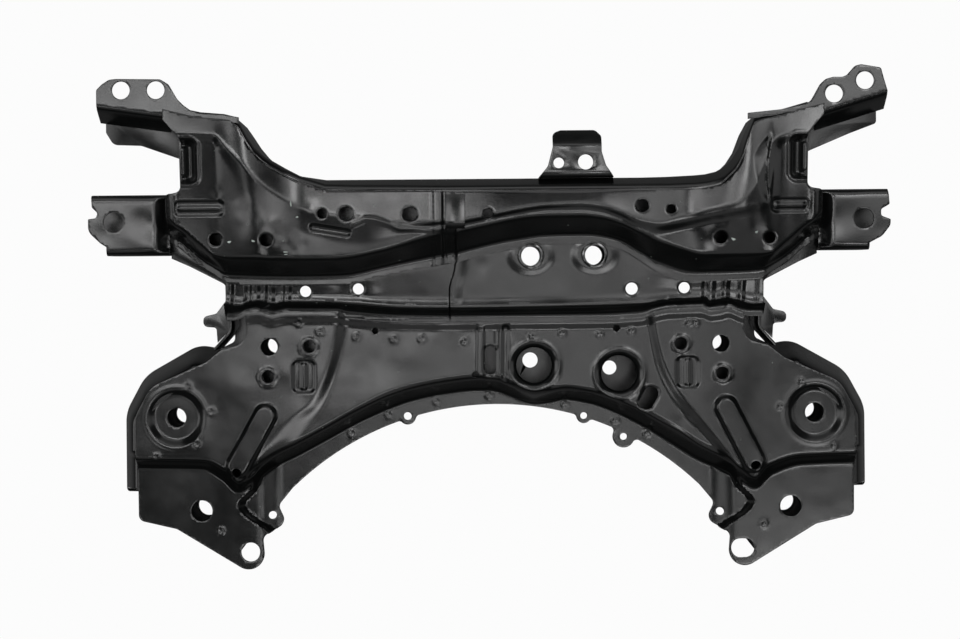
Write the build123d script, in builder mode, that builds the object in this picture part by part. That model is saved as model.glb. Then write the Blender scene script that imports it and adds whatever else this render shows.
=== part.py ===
# Front suspension subframe of a small car, pressed and welded from steel sheet.
# X runs across the car, +Y towards its front, +Z up, in millimetres.
# The origin is at the middle of the underside.
from build123d import *
import math
import os

os.makedirs("parts", exist_ok=True)

# Sheet metal
sheet = 2.5
bend_radius = 4.0
bracket_sheet = 3.0
patch_sheet = 1.5
weld_flange = 9.0
lap_gap = 0.1
trim_height = 200.0

# Levels of the upper skins above the floor
front_level = 120.0
tower_rise = 14.0
middle_level = 92.0
rear_level = 80.0
pad_level = 64.0
arc_level = 44.0
front_floor_level = 40.0
side_lip_level = 84.0
arm_level = 92.0
tab_level = 110.0
horn_floor_level = 102.5
skirt_level = 72.0

# Feature lines in plan: each is a row of (x, y) points from left to right
front_edge_left = [
    (-324, 210), (-304, 205), (-286, 201), (-257, 198), (-249, 192), (-242, 180), (-236, 169),
    (-226, 159), (-208, 147), (-189, 138), (-174, 132), (-160, 129), (-92, 128), (-38, 127),
]
upper_crease_left = [
    (-324, 185), (-271, 183), (-257, 169), (-242, 154), (-230, 140), (-218, 130), (-189, 113),
    (-160, 106), (-126, 103), (-92, 97), (-63, 97), (-38, 100),
]
lower_crease_left = [
    (-324, 179), (-271, 177), (-265, 164), (-255, 150), (-244, 135), (-233, 120), (-220, 109),
    (-191, 91), (-170, 85), (-145, 79), (-121, 79), (-92, 86), (-63, 93), (-38, 95),
]
rear_edge_left = [
    (-324, 104), (-306, 92), (-287, 76), (-274, 66), (-258, 65), (-160, 63), (-146, 64),
    (-111, 70), (-72, 82), (-48, 88), (-38, 89),
]
wall_foot_left = [
    (-324, 90), (-311, 83), (-290, 65), (-275, 56), (-260, 47), (-192, 45), (-147, 46),
    (-113, 53), (-93, 57), (-54, 64), (-38, 67),
]
front_edge_right = [
    (-38, 127), (143, 127), (201, 128), (213, 130), (221, 132), (227, 136), (235, 144), (241, 153),
    (246, 170), (251, 187), (257, 193), (275, 197), (299, 204), (324, 210),
]
upper_crease_right = [
    (-38, 98), (-14, 102), (6, 106), (25, 110), (45, 113), (84, 115), (103, 113), (118, 108),
    (142, 98), (162, 95), (181, 100), (220, 109), (240, 115), (254, 130), (264, 154), (272, 174),
    (289, 179), (324, 180),
]
lower_crease_right = [
    (-38, 93), (-4, 100), (16, 104), (35, 107), (55, 109), (84, 109), (103, 107), (123, 101),
    (142, 91), (162, 87), (201, 89), (240, 98), (257, 106), (267, 125), (273, 152), (279, 169),
    (289, 173), (324, 174),
]
rear_edge_right = [
    (-38, 88), (-4, 95), (15, 99), (35, 102), (54, 103), (84, 103), (103, 101), (123, 95),
    (142, 86), (161, 78), (181, 71), (205, 64), (239, 63), (271, 64), (287, 76), (306, 92),
    (324, 104),
]
wall_foot_right = [
    (-38, 66), (-24, 70), (6, 77), (25, 80), (45, 83), (65, 84), (94, 84), (109, 82), (124, 78),
    (143, 67), (163, 54), (193, 46), (242, 47), (260, 48), (275, 56), (290, 65), (311, 83),
    (324, 90),
]
middle_rear_edge = [
    (-272, 20), (-192, 20), (-143, 18), (-93, 14), (-44, 13), (45, 14), (143, 16), (182, 19),
    (272, 19),
]
rear_hem = [
    (-370, 9), (-203, 10), (-145, 7), (-94, 3), (-44, 2), (104, 2), (145, 4), (206, 9), (370, 9),
]
arc_wall_top = [
    (-370, -135), (-289, -137), (-271, -145), (-256, -158), (-240, -147), (-221, -132),
    (-194, -118), (-164, -102), (-135, -86), (-106, -72), (-77, -64), (-48, -59), (-18, -56),
    (0, -57), (14, -62), (29, -69), (39, -71), (52, -69), (69, -67), (94, -70), (114, -76),
    (143, -88), (163, -99), (183, -110), (202, -123), (222, -134), (241, -147), (257, -158),
    (272, -145), (301, -137), (370, -135),
]
arc_wall_foot = [
    (-370, -143), (-293, -145), (-274, -155), (-257, -169), (-240, -158), (-225, -146),
    (-197, -132), (-167, -116), (-137, -100), (-107, -87), (-84, -79), (-49, -72), (-18, -69),
    (0, -70), (15, -75), (30, -81), (40, -83), (53, -82), (70, -79), (95, -83), (115, -90),
    (145, -105), (165, -117), (185, -130), (205, -142), (226, -151), (242, -160), (258, -169),
    (275, -155), (306, -145), (370, -143),
]
step_outer_left = [
    (-248, -150), (-227, -117), (-209, -98), (-190, -83), (-176.5, -62), (-168.7, -43),
    (-162.5, -19), (-158, 11), (-150.7, 57), (-143.5, 100),
]
step_inner_left = [
    (-246, -156), (-236, -145), (-221, -132), (-190.5, -113), (-176.7, -98), (-164.5, -75),
    (-155, -50), (-147.2, -19), (-143.5, 11), (-140, 60),
]
step_inner_right = [
    (143, 60), (147, 11), (152, -14), (156.2, -41), (165.2, -65), (178, -88), (192.6, -105),
    (214, -127), (236, -150),
]
step_outer_right = [
    (147, 100), (152.2, 57), (157.5, 11), (162.8, -20), (171.2, -47), (184, -71), (202.6, -93),
    (224, -120), (237, -138), (246, -150),
]
lower_rear_foot = [
    (-370, -172), (-345, -180), (-319, -193), (-294, -209), (-275, -214), (-260, -206),
    (-246, -184), (-232, -158), (-222, -141), (-197, -124), (-137, -92), (-84, -71), (-18, -61),
    (40, -72), (95, -75), (145, -96), (197, -124), (222, -141), (232, -158), (246, -184),
    (260, -206), (275, -214), (294, -209), (319, -193), (345, -180), (370, -172),
]

# Outline of the rear corners, as (x, y, corner radius), for the left side
rear_corner = [
    (-247, 60, 0), (-247, -20, 14), (-272, -27, 4), (-287, -39, 6), (-342, -63, 26),
    (-358, -93, 26), (-357, -197, 7), (-319, -206, 8), (-229, -261, 16), (-233, -214, 7),
    (-211, -203, 9), (-219, -185, 7),
]
arc_edge_x = 205.0
arc_edge_y = -168.0
arc_crown_y = -85.0

# Bores: middle of each hole and its radius
mount_x = 294.0
mount_y = -188.0
mount_bore = 10.5
mount_wall = 3.5
bush_x = 317.0
bush_y = -94.0
bush_bore = 9.5
bush_wall = 4.0
bush_seat_radius = 22.0
bush_rim_radius = 28.5
bush_seat_depth = 8.0
bush_bead = 0.4
ear_x = 245.5
ear_y = -229.5
ear_bore = 9.5
lobe_x = 224.5
lobe_y = -194.5
lobe_bore = 4.0
rack_x = 224.0
rack_y = -24.5
rack_bore = 8.3
rack_wall = 3.0
nut_bore = 6.0
nut_wall = 4.0
nut_length = 12.0
nut_places = {"inner": (184.5, -24.5), "rear": (225.5, -54.2)}
engine_bore = 9.6
engine_wall = 3.0
engine_places = {"inner": (36.1, 63.5), "outer": (99.0, 63.9)}
engine_notch = 14.0


def along(line, x):
    """Return y at x on a smooth curve through a feature line, with no overshoot."""
    x = min(max(x, line[0][0]), line[-1][0])
    slopes = [(b[1] - a[1]) / (b[0] - a[0]) for a, b in zip(line, line[1:])]
    tangents = [slopes[0]]
    for before, after in zip(slopes, slopes[1:]):
        flat = before * after <= 0
        tangents.append(0 if flat else 2 * before * after / (before + after))
    tangents.append(slopes[-1])
    i = 0
    while x > line[i + 1][0]:
        i += 1
    run = line[i + 1][0] - line[i][0]
    t = (x - line[i][0]) / run
    return (
        (2 * t**3 - 3 * t**2 + 1) * line[i][1]
        + (t**3 - 2 * t**2 + t) * run * tangents[i]
        + (3 * t**2 - 2 * t**3) * line[i + 1][1]
        + (t**3 - t**2) * run * tangents[i + 1]
    )


def ramp(value, low, high):
    """Return 0 below low, 1 above high and a soft step between them."""
    t = min(max((value - low) / (high - low), 0), 1)
    return t * t * (3 - 2 * t)


def sheet_section(rows, thickness, radius):
    """Return the closed section of a bent sheet whose upper skin runs through the rows."""
    points = [Vector(y, z) for y, z in rows]
    runs = [(b - a).normalized() for a, b in zip(points, points[1:])]
    normals = [Vector(-run.Y, run.X) for run in runs]
    under = [points[0] + normals[0] * thickness]
    upper_radii = []
    under_radii = []
    for i in range(1, len(points) - 1):
        mean = (normals[i - 1] + normals[i]).normalized()
        under.append(points[i] + mean * (thickness / mean.dot(normals[i])))
        folds_under = runs[i - 1].X * runs[i].Y > runs[i - 1].Y * runs[i].X
        upper_radii.append(radius + thickness if folds_under else radius)
        under_radii.append(radius if folds_under else radius + thickness)
    under.append(points[-1] + normals[-1] * thickness)
    with BuildSketch() as section:
        with BuildLine():
            FilletPolyline(
                *points, *under[::-1], radius=[0, *upper_radii, 0, 0, *under_radii[::-1], 0], close=True
            )
        make_face()
    return section.sketch


def pressing(stations, rows, thickness=sheet, radius=bend_radius):
    """Return a sheet lofted through bent sections; rows(x) gives the bends at x."""
    with BuildPart() as blank:
        for x in stations:
            with BuildSketch(Plane.YZ.offset(x)):
                add(sheet_section(rows(x), thickness, radius))
        loft(ruled=True)
    return blank.part


def plan_outline(corners):
    """Return the flat outline of (x, y, corner radius) points."""
    places = [(x, y) for x, y, radius in corners]
    with BuildSketch() as outline:
        with BuildLine():
            FilletPolyline(*places, radius=[radius for x, y, radius in corners], close=True)
        make_face()
    return outline.sketch


def trim_tool(outline):
    """Return the upright prism that trims a blank to its plan outline."""
    with BuildPart() as prism:
        add(outline)
        extrude(amount=trim_height)
    return prism.part


def punches(places, slots=()):
    """Return upright punches: round at (x, y, radius), oval at (x, y, width, length, turn from +Y)."""
    with BuildPart() as tool:
        with BuildSketch():
            for x, y, radius in places:
                with Locations((x, y)):
                    Circle(radius)
            for x, y, width, length, turn in slots:
                with Locations((x, y)):
                    SlotOverall(length, width, rotation=90 + turn)
        extrude(amount=trim_height)
    return tool.part


def save(part, name):
    """Label a finished piece and write its STEP file."""
    part.label = name
    export_step(part, f"parts/{name}.step")


def mirrored(corners):
    """Return an outline's points for the other side of the car."""
    return [(-x, y, radius) for x, y, radius in corners[::-1]]


# Heights that change along the panels
saddle_drop = 4.0
panel_crown = 0.05
middle_end_x = 266.0
flange_climb_start = 225.0
flange_climb_end = 262.0


def tower_share(x):
    """Return how far x lies up on a strut tower, from 0 to 1."""
    return ramp(abs(x), 185, 246)


def wall_foot_level(x):
    """Return the level that the front box's rear wall comes down to."""
    return middle_level + (side_lip_level - middle_level) * ramp(abs(x), middle_end_x, 290) + sheet


def flange_level(x):
    """Return the level of the rear panel's outer flange: the arc's in the middle, the pad's outside."""
    share = min(max((abs(x) - flange_climb_start) / (flange_climb_end - flange_climb_start), 0), 1)
    return arc_level + (pad_level - arc_level) * share


def saddle_share(x, y):
    """Return how far a point lies down on the saddle between the two curved steps, from 0 to 1."""
    outer, inner = (step_outer_left, step_inner_left) if x < 0 else (step_outer_right, step_inner_right)
    if abs(x) > abs(outer[0 if x < 0 else -1][0]):
        return 0.0
    start, end = along(outer, x), along(inner, x)
    return min(max((start - y) / (start - end), 0.0), 1.0)


def hem_level(x):
    """Return the level at the rear panel's front hem, lower on the saddle."""
    return rear_level - saddle_drop * saddle_share(x, 11.0)


def upper_rows(front_edge, upper_crease, lower_crease, rear_edge, wall_foot):
    """Return the bends of a front upper panel as a function of x."""

    def rows(x):
        rise = tower_rise * tower_share(x)
        foot = along(wall_foot, x)
        return [
            (along(front_edge, x), front_level - 2 + rise),
            (along(upper_crease, x), front_level + 1 + rise),
            (along(lower_crease, x), front_level - 3 + rise),
            (along(rear_edge, x), front_level - 4),
            (foot, wall_foot_level(x)),
            (foot - weld_flange, wall_foot_level(x)),
        ]

    return rows


# Front upper panels
tower_side = [
    (-321, 240, 0), (-321, 199, 5), (-303, 181, 3), (-289, 182, 5), (-289, 141, 7), (-306, 140, 4),
    (-308, 129, 6), (-321, 126, 3), (-321, 40, 0), (100, 20, 0), (100, 240, 0),
]
joint_x = -38.0
front_holes = [
    (-272, 82, 5.8), (-222.4, 81, 5.8), (-167.7, 106.5, 4.4), (-144.3, 106, 6.6), (-82, 105, 6.8),
]
front_holes_right = [
    (-5.9, 105, 4.8), (144.7, 111.5, 5.8), (172.9, 108, 4.0), (221.4, 80, 5.8), (268.7, 79.5, 5.3),
]
with BuildPart() as front_upper_panel_left:
    add(
        pressing(
            [
                -324, -306, -290, -278, -266, -254, -244, -234, -222, -206, -189, -165, -146, -121, -92,
                -63, joint_x,
            ],
            upper_rows(
                front_edge_left, upper_crease_left, lower_crease_left, rear_edge_left, wall_foot_left
            ),
        )
    )
    add(trim_tool(plan_outline(tower_side)), mode=Mode.INTERSECT)
    add(punches(front_holes), mode=Mode.SUBTRACT)
save(front_upper_panel_left.part, "front_upper_panel_left")

with BuildPart() as front_upper_panel_right:
    add(
        pressing(
            [
                joint_x, -14, 10, 35, 60, 84, 103, 123, 142, 162, 181, 205, 222, 235, 244, 252, 259, 266,
                278, 290, 306, 324,
            ],
            upper_rows(
                front_edge_right, upper_crease_right, lower_crease_right, rear_edge_right, wall_foot_right
            ),
        )
    )
    add(trim_tool(plan_outline(mirrored(tower_side))), mode=Mode.INTERSECT)
    add(punches(front_holes_right), mode=Mode.SUBTRACT)
    add(punches([(x, y, engine_notch) for x, y in engine_places.values()]), mode=Mode.SUBTRACT)
save(front_upper_panel_right.part, "front_upper_panel_right")


# Middle panels, with pressed waves at their outer ends
wave_depth = 2.5
wave_lines = [196.0, 203.0, 210.0, 218.0, 226.0, 234.0, 242.0, 250.0, 258.0]


def end_wave(x):
    """Return how far the waves of a middle panel's end dip at x."""
    if abs(x) < wave_lines[0] or abs(x) > wave_lines[-1]:
        return 0.0
    count = (len(wave_lines) - 1) / 2
    share = (abs(x) - wave_lines[0]) / (wave_lines[-1] - wave_lines[0])
    return wave_depth * (1 - math.cos(2 * math.pi * count * share)) / 2


def middle_rows(wall_foot):
    """Return the bends of a middle panel as a function of x."""

    def rows(x):
        foot = along(wall_foot, x)
        edge = along(middle_rear_edge, x)
        hem = along(rear_hem, x)
        return [
            (foot + 16, middle_level - 0.5),
            (foot - weld_flange, middle_level - 0.01),
            (edge + 8, middle_level - 3 - end_wave(x)),
            (edge, middle_level - 1 - end_wave(x)),
            (hem + 4, hem_level(x)),
            (hem - 3, hem_level(x)),
        ]

    return rows


step_stations_left = [143.5, 150.7, 158.0]
step_stations_right = [147.0, 152.2, 157.5]
middle_holes_left = [(-186.7, 30.5, 5.3), (-134.5, 32.5, 5.3)]
middle_holes_right = [(135.3, 30.5, 5.8), (187.2, 31.0, 5.3)]
with BuildPart() as middle_panel_left:
    add(
        pressing(
            [
                -middle_end_x, *[-x for x in wave_lines[::-1]], -180, -165,
                *[-x for x in step_stations_left[::-1]], -130, -113, -93, -73, -54, joint_x,
            ],
            middle_rows(wall_foot_left),
        )
    )
    add(punches(middle_holes_left), mode=Mode.SUBTRACT)
save(middle_panel_left.part, "middle_panel_left")

with BuildPart() as middle_panel_right:
    add(
        pressing(
            [
                joint_x, -20, 6, 30, 55, 80, 103, 124, *step_stations_right, 170, 183, *wave_lines,
                middle_end_x,
            ],
            middle_rows(wall_foot_right),
        )
    )
    add(punches(middle_holes_right), mode=Mode.SUBTRACT)
    engine_holes = [(x, y, engine_bore + engine_wall) for x, y in engine_places.values()]
    add(punches(engine_holes), mode=Mode.SUBTRACT)
save(middle_panel_right.part, "middle_panel_right")


# Rear pressings: the bends and the plan outline that they share
ear_step_front = -203.0
ear_step_rear = -213.0
rear_blank_edge = -275.0


def rear_rows(x):
    """Return the bends of the rear upper panel at x."""
    hem = along(rear_hem, x)
    wall = along(arc_wall_top, x)
    outer, inner = (step_outer_left, step_inner_left) if x < 0 else (step_outer_right, step_inner_right)
    start = min(max(along(outer, x), wall + 14), hem - 17)
    end = min(max(along(inner, x), wall + 5), start - 6)
    return [
        (hem, hem_level(x) + sheet),
        (hem - 6, hem_level(x) + sheet),
        (hem - 11, rear_level - saddle_drop * saddle_share(x, hem - 11)),
        (start, rear_level - saddle_drop * saddle_share(x, start) + panel_crown),
        (end, rear_level - saddle_drop * saddle_share(x, end) + panel_crown / 2),
        (wall, rear_level - saddle_drop * saddle_share(x, wall)),
        (along(arc_wall_foot, x), flange_level(x)),
        (ear_step_front, flange_level(x) + 0.01),
        (ear_step_rear, pad_level),
        (rear_blank_edge, pad_level + 0.01),
    ]


rear_stations = [
    -370, -330, -300, -285, -271, -262, -256, -248, -240, -232, -225, -208, -190, -175, -165,
    *[-x for x in step_stations_left[::-1]], -125, -107, -77, -48, -18, 5, 20, 36, 52, 69, 94, 114, 130,
    *step_stations_right, 165, 175, 190, 208, 225, 232, 240, 248, 256, 262, 271, 285, 300, 330, 370,
]
arc_tabs = [(-88.4, -96.4, 8.5, 4.0), (88.8, -97.5, 7.5, 3.5), (128.7, -118.9, 11.0, 3.6)]


def arc_outline(corner):
    """Return a rear pressing's plan outline: a corner, the arc with its tabs, the other corner."""
    places = [(x, y) for x, y, radius in corner]
    radii = [radius for x, y, radius in corner[1:]]
    left_end = (-arc_edge_x, arc_edge_y)
    right_end = (arc_edge_x, arc_edge_y)
    with BuildSketch() as outline:
        with BuildLine():
            FilletPolyline(*places, left_end, radius=radii)
            ThreePointArc(left_end, (0, arc_crown_y), right_end)
            FilletPolyline(*[(-x, y) for x, y in places], right_end, radius=radii)
            Line(places[0], (-places[0][0], places[0][1]))
        make_face()
        for x, y, tab_radius, hole_radius in arc_tabs:
            with Locations((x, y)):
                Circle(tab_radius)
            neck = outline.vertices().sort_by_distance((x, y))[:2]
            fillet(neck, 5.0)
    return outline.sketch


# Rear upper panel, with a cupped seat at each bush
bush_cup = [
    (bush_rim_radius + 4, rear_level + bush_bead),
    (bush_rim_radius, rear_level + bush_bead),
    (bush_seat_radius, rear_level - bush_seat_depth),
    (bush_bore, rear_level - bush_seat_depth),
]
with BuildPart() as bush_seat:
    with BuildSketch(Plane.XZ):
        add(sheet_section(bush_cup, sheet, bend_radius / 2))
    revolve(axis=Axis.Z)
access_places = [(38.7, -45.0), (123.3, -53.7)]
access_bore = 17.5
access_rim = 24.0
access_depth = 8.0
access_bead = 0.3
access_lead = 1.5
saddle_level = rear_level - saddle_drop
access_burr = [
    (access_rim + 3, saddle_level + access_bead),
    (access_rim, saddle_level + access_bead),
    (access_bore + access_lead, saddle_level - access_depth / 2),
    (access_bore, saddle_level - access_depth),
]
with BuildPart() as access_collar:
    with BuildSketch(Plane.XZ):
        add(sheet_section(access_burr, sheet, bend_radius / 3))
    revolve(axis=Axis.Z)
rib_lines = [((-228.5, -92.5), (-256.0, -142.0)), ((228.5, -88.0), (255.5, -141.0))]
rib_radius = 14.3
rib_height = 5.0
rib_root = 1.0
rib_taper = 40.0
rib_bores = [(-257.0, -149.0, 4.8), (257.3, -146.0, 4.8)]
clip_slots = [(-4.8, -39.6, 11.0, 28.0, 0), (152.2, -78.6, 14.0, 24.0, -30)]
drain_holes = [(-118.9, -9.5, 3.2), (120.8, -9.0, 3.2), (-19.9, -53.7, 3.2)]
ear_slot_length = 23.5


def rib(ends, radius, level):
    """Return a raised rib's tapered block between two plan points, rooted just below a level."""
    (ax, ay), (bx, by) = ends
    with BuildPart() as block:
        with BuildSketch(Plane.XY.offset(level - rib_root)):
            with Locations(((ax + bx) / 2, (ay + by) / 2)):
                SlotCenterToCenter(
                    math.hypot(bx - ax, by - ay),
                    2 * radius,
                    rotation=math.degrees(math.atan2(by - ay, bx - ax)),
                )
        extrude(amount=rib_root + rib_height, taper=rib_taper)
    return block.part


with BuildPart() as rear_upper_panel:
    add(pressing(rear_stations, rear_rows))
    add([rib(ends, rib_radius, rear_level) for ends in rib_lines])
    add([rib(ends, rib_radius - sheet, rear_level - sheet) for ends in rib_lines], mode=Mode.SUBTRACT)
    add(trim_tool(arc_outline(rear_corner)), mode=Mode.INTERSECT)
    add(
        punches(
            [(side * bush_x, bush_y, bush_rim_radius) for side in (-1, 1)]
            + [(side * mount_x, mount_y, mount_bore) for side in (-1, 1)]
            + [(-ear_x, ear_y, ear_bore)]
            + [(side * lobe_x, lobe_y, lobe_bore) for side in (-1, 1)]
            + [(side * rack_x, rack_y, rack_bore) for side in (-1, 1)]
            + [(side * x, y, nut_bore) for side in (-1, 1) for x, y in nut_places.values()]
            + [(x, y, hole_radius) for x, y, tab_radius, hole_radius in arc_tabs]
            + [(x, y, access_rim) for x, y in access_places]
            + rib_bores
            + drain_holes,
            clip_slots + [(ear_x, ear_y, 2 * ear_bore, ear_slot_length, 90)],
        ),
        mode=Mode.SUBTRACT,
    )
    bush_seats = [Pos(side * bush_x, bush_y) * bush_seat.part for side in (-1, 1)]
    access_burrs = [Pos(x, y) * access_collar.part for x, y in access_places]
    add(bush_seats + access_burrs)
save(rear_upper_panel.part, "rear_upper_panel")

# Lower panel
front_wall = [
    (-324, 214), (-304, 210), (-286, 206), (-257, 204), (-249, 199), (-242, 190), (-236, 180),
    (-229, 171), (-220, 161), (-210, 155), (-200, 149), (-190, 144), (-176, 141), (-160, 140),
    (-33, 140), (144, 140), (203, 142), (213, 143.5), (221, 146), (228, 151),
    (235, 159), (241, 169), (246, 182), (251, 195), (257, 199), (275, 203), (299, 210), (324, 216),
]


def lower_rows(x):
    """Return the bends of the lower panel at x, on its inner skin."""
    edge = along(front_edge_left if x < joint_x else front_edge_right, x)
    lip = front_level - 2 - 2 * sheet - lap_gap + (tower_rise - sheet) * tower_share(x)
    wall = along(front_wall, x)
    foot = along(lower_rear_foot, x)
    flange = flange_level(x) - sheet
    return [
        (edge - weld_flange, lip),
        (edge + 3, lip - 0.5),
        (wall - sheet, lip - 20),
        (wall - sheet - 2, front_floor_level + sheet),
        (36, front_floor_level + sheet),
        (16, sheet),
        (foot, sheet),
        (foot - 8, flange),
        (foot - 40, flange),
    ]


lower_corner = [
    (-306, 240, 0), (-306, 128, 3), (-324, 122, 3), (-324, 97, 8), (-306, 73, 6), (-286, 58, 8),
    (-266, 48, 6), (-266, -21, 6),
    (-281, -28, 4), (-303, -24, 28), (-358, -55, 40), (-378, -92, 40), (-378, -173, 4),
    (-355, -174, 2), (-354, -194, 6), (-319, -202.5, 8), (-262, -237, 8), (-243, -212, 10),
    (-219, -186, 7),
]
lower_stations = [
    -378, -345, -319, -305, -285, -271, -262, -254, -247, -240, -233, -225, -218, -205, -190, -165,
    -137, -107, -77, -48, -18, 5, 22, 40, 60, 95, 120, 145, 170, 197, 208, 218, 225, 233, 240, 247,
    254, 262, 271, 285, 305, 319, 345, 378,
]
access_drains = [(36.0, -42.6, 7.8), (117.3, -51.0, 7.2)]
slope_drain_bore = 8.0
slope_drains = [(-191.3, 29.9), (-137.8, 32.0), (139.1, 29.5), (192.3, 30.5)]
with BuildPart() as lower_panel:
    add(pressing(lower_stations, lower_rows))
    add(trim_tool(arc_outline(lower_corner)), mode=Mode.INTERSECT)
    add(
        punches(
            [(side * bush_x, bush_y, bush_bore) for side in (-1, 1)]
            + [(side * mount_x, mount_y, mount_bore) for side in (-1, 1)]
            + [(side * rack_x, rack_y, rack_bore) for side in (-1, 1)]
            + [(x, y, hole_radius) for x, y, tab_radius, hole_radius in arc_tabs]
            + [(x, y, engine_bore) for x, y in engine_places.values()]
            + access_drains
            + [(x, y, slope_drain_bore) for x, y in slope_drains]
        ),
        mode=Mode.SUBTRACT,
    )
save(lower_panel.part, "lower_panel")


def tube(place, bore, wall, low, high):
    """Return an upright spacer tube."""
    with BuildPart() as spacer:
        with BuildSketch(Plane.XY.offset(low)):
            with Locations(place):
                Circle(bore + wall)
                Circle(bore, mode=Mode.SUBTRACT)
        extrude(amount=high - low)
    return spacer.part


# Spacer tubes and weld nuts
for side, hand in ((-1, "left"), (1, "right")):
    under_pad = pad_level - sheet
    save(tube((side * mount_x, mount_y), mount_bore, mount_wall, sheet, under_pad), f"mount_sleeve_{hand}")
    under_seat = rear_level - bush_seat_depth - sheet
    save(tube((side * bush_x, bush_y), bush_bore, bush_wall, sheet, under_seat), f"bush_sleeve_{hand}")
    under_rear = rear_level - sheet
    save(tube((side * rack_x, rack_y), rack_bore, rack_wall, sheet, under_rear), f"rack_sleeve_{hand}")
    for name, (x, y) in nut_places.items():
        nut = tube((side * x, y), nut_bore, nut_wall, under_rear - nut_length, under_rear)
        save(nut, f"rack_nut_{name}_{hand}")


# Rear side walls: a slanted wall with a ledge under the rear panel, stepping down beside the pad
rim_path = [(-281, -28), (-303, -24), (-358, -55), (-378, -92), (-378, -131)]
rim_radii = [28, 40, 40]
rim_end_y = -166.0
rim_lean = 10.0 / 75.0
rim_ledge = 24.0
rim_lift = 0.4


def rim_section(ledge):
    """Return the section of the side wall, across its outer foot, for a ledge's level."""
    foot = sheet + rim_lift
    return sheet_section(
        [(0, foot), (-rim_lean * (ledge - foot), ledge), (-rim_ledge, ledge)], sheet, bend_radius
    )


with BuildPart() as rear_side_wall_left:
    with BuildLine() as rim_line:
        FilletPolyline(*rim_path, radius=rim_radii)
    start = rim_line.line @ 0
    heading = rim_line.line % 0
    outward = heading.cross(Vector(0, 0, 1))
    with BuildSketch(Plane(origin=start, x_dir=outward, z_dir=-heading)):
        add(rim_section(rear_level - sheet))
    sweep(path=rim_line.line)
    with BuildSketch(Plane(origin=rim_line.line @ 1, x_dir=(-1, 0, 0), z_dir=(0, 1, 0))):
        add(rim_section(pad_level - sheet))
    extrude(amount=rim_end_y - rim_path[-1][1])
save(rear_side_wall_left.part, "rear_side_wall_left")
save(mirror(rear_side_wall_left.part, about=Plane.YZ), "rear_side_wall_right")

# Front side walls
side_path = [
    (-306, 201), (-306, 130), (-321, 124), (-321, 97), (-304, 74), (-284, 60), (-264, 54),
]
side_radii = [6, 5, 8, 6, 6]
side_top = [
    (220, 123.5), (192, 123.5), (178, 126.5), (108, 113.8), (94.5, side_lip_level), (0, side_lip_level),
]
with BuildPart() as front_side_wall_left:
    with BuildSketch(Plane.XY.offset(front_floor_level + sheet)):
        with BuildLine():
            FilletPolyline(*side_path, radius=side_radii)
            offset(amount=sheet, side=Side.LEFT)
        make_face()
    extrude(amount=trim_height)
    with BuildSketch(Plane.YZ) as above:
        with BuildLine():
            Polyline(*side_top, (0, 300), (220, 300), close=True)
        make_face()
    extrude(amount=400, both=True, mode=Mode.SUBTRACT)
save(front_side_wall_left.part, "front_side_wall_left")
save(mirror(front_side_wall_left.part, about=Plane.YZ), "front_side_wall_right")

# Waist walls: each closes the box between its side walls, with a rounded tab
waist_path = [(-264, 52), (-264, -8), (-280, -26)]
waist_front_top = 85.0
waist_rear_top = 75.0
waist_foot = front_floor_level + 5
waist_tab = [
    (-262, 26, 0), (-268, 21, 3), (-277, 9, 4), (-290, 6, 5), (-290, -4, 5), (-277, -5, 3),
    (-276, -20, 0), (-262, -6, 0),
]
with BuildPart() as waist_wall_left:
    with BuildSketch(Plane.XY.offset(sheet)):
        with BuildLine():
            FilletPolyline(*waist_path, radius=8)
            offset(amount=sheet, side=Side.LEFT)
        make_face()
    extrude(amount=trim_height)
    with BuildSketch(Plane.YZ):
        with BuildLine():
            Polyline(
                (60, waist_front_top), (22, waist_front_top), (15, waist_rear_top), (-40, waist_rear_top),
                (-40, sheet), (11.5, sheet), (34.5, waist_foot), (60, waist_foot), close=True,
            )
        make_face()
    extrude(amount=trim_height * 2, both=True, mode=Mode.INTERSECT)
    with BuildSketch(Plane.XY.offset(skirt_level)):
        add(plan_outline(waist_tab))
    extrude(amount=-sheet)
save(waist_wall_left.part, "waist_wall_left")
save(mirror(waist_wall_left.part, about=Plane.YZ), "waist_wall_right")

# Arm brackets: a top plate on two walls, open downwards, with the arm's bolt along the car
arm_front_y = 127.0
arm_rear_y = 67.0
arm_wall_foot = 34.0
arm_inner_x = 321.0
arm_wall_ends = {"left": {"front": 396.5, "rear": 382.8}, "right": {"front": 388.5, "rear": 370.5}}
arm_wall_corner = 12.0
arm_edge_radius = 2.0
arm_bolt_x = 357.0
arm_bolt_level = 60.0
arm_bolt_bore = 6.6
arm_hole_bore = 9.9
arm_holes = {"left": (-375.6, 100.2), "right": (365.0, 98.0)}
arm_outlines = {
    "left": [
        (-arm_inner_x, arm_front_y, 0), (-397.5, arm_front_y, 0.5), (-396.8, 115, 3), (-391, 109.5, 3),
        (-393, 104.5, 2), (-400.6, 103.5, 1), (-400.6, 91, 12), (-388.5, 79.5, 20),
        (-arm_wall_ends["left"]["rear"], 76, 0.8), (-arm_wall_ends["left"]["rear"], arm_rear_y, 0),
        (-arm_inner_x, arm_rear_y, 0),
    ],
    "right": [
        (arm_inner_x, arm_rear_y, 0), (arm_wall_ends["right"]["rear"], arm_rear_y, 0),
        (arm_wall_ends["right"]["rear"], 74, 0.8), (383, 80.5, 14), (391.2, 91, 8), (391.4, 97, 1),
        (382, 100.5, 3), (382, 107, 3), (390.5, 111.8, 1.5), (389.3, arm_front_y, 0.5),
        (arm_inner_x, arm_front_y, 0),
    ],
}


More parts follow.
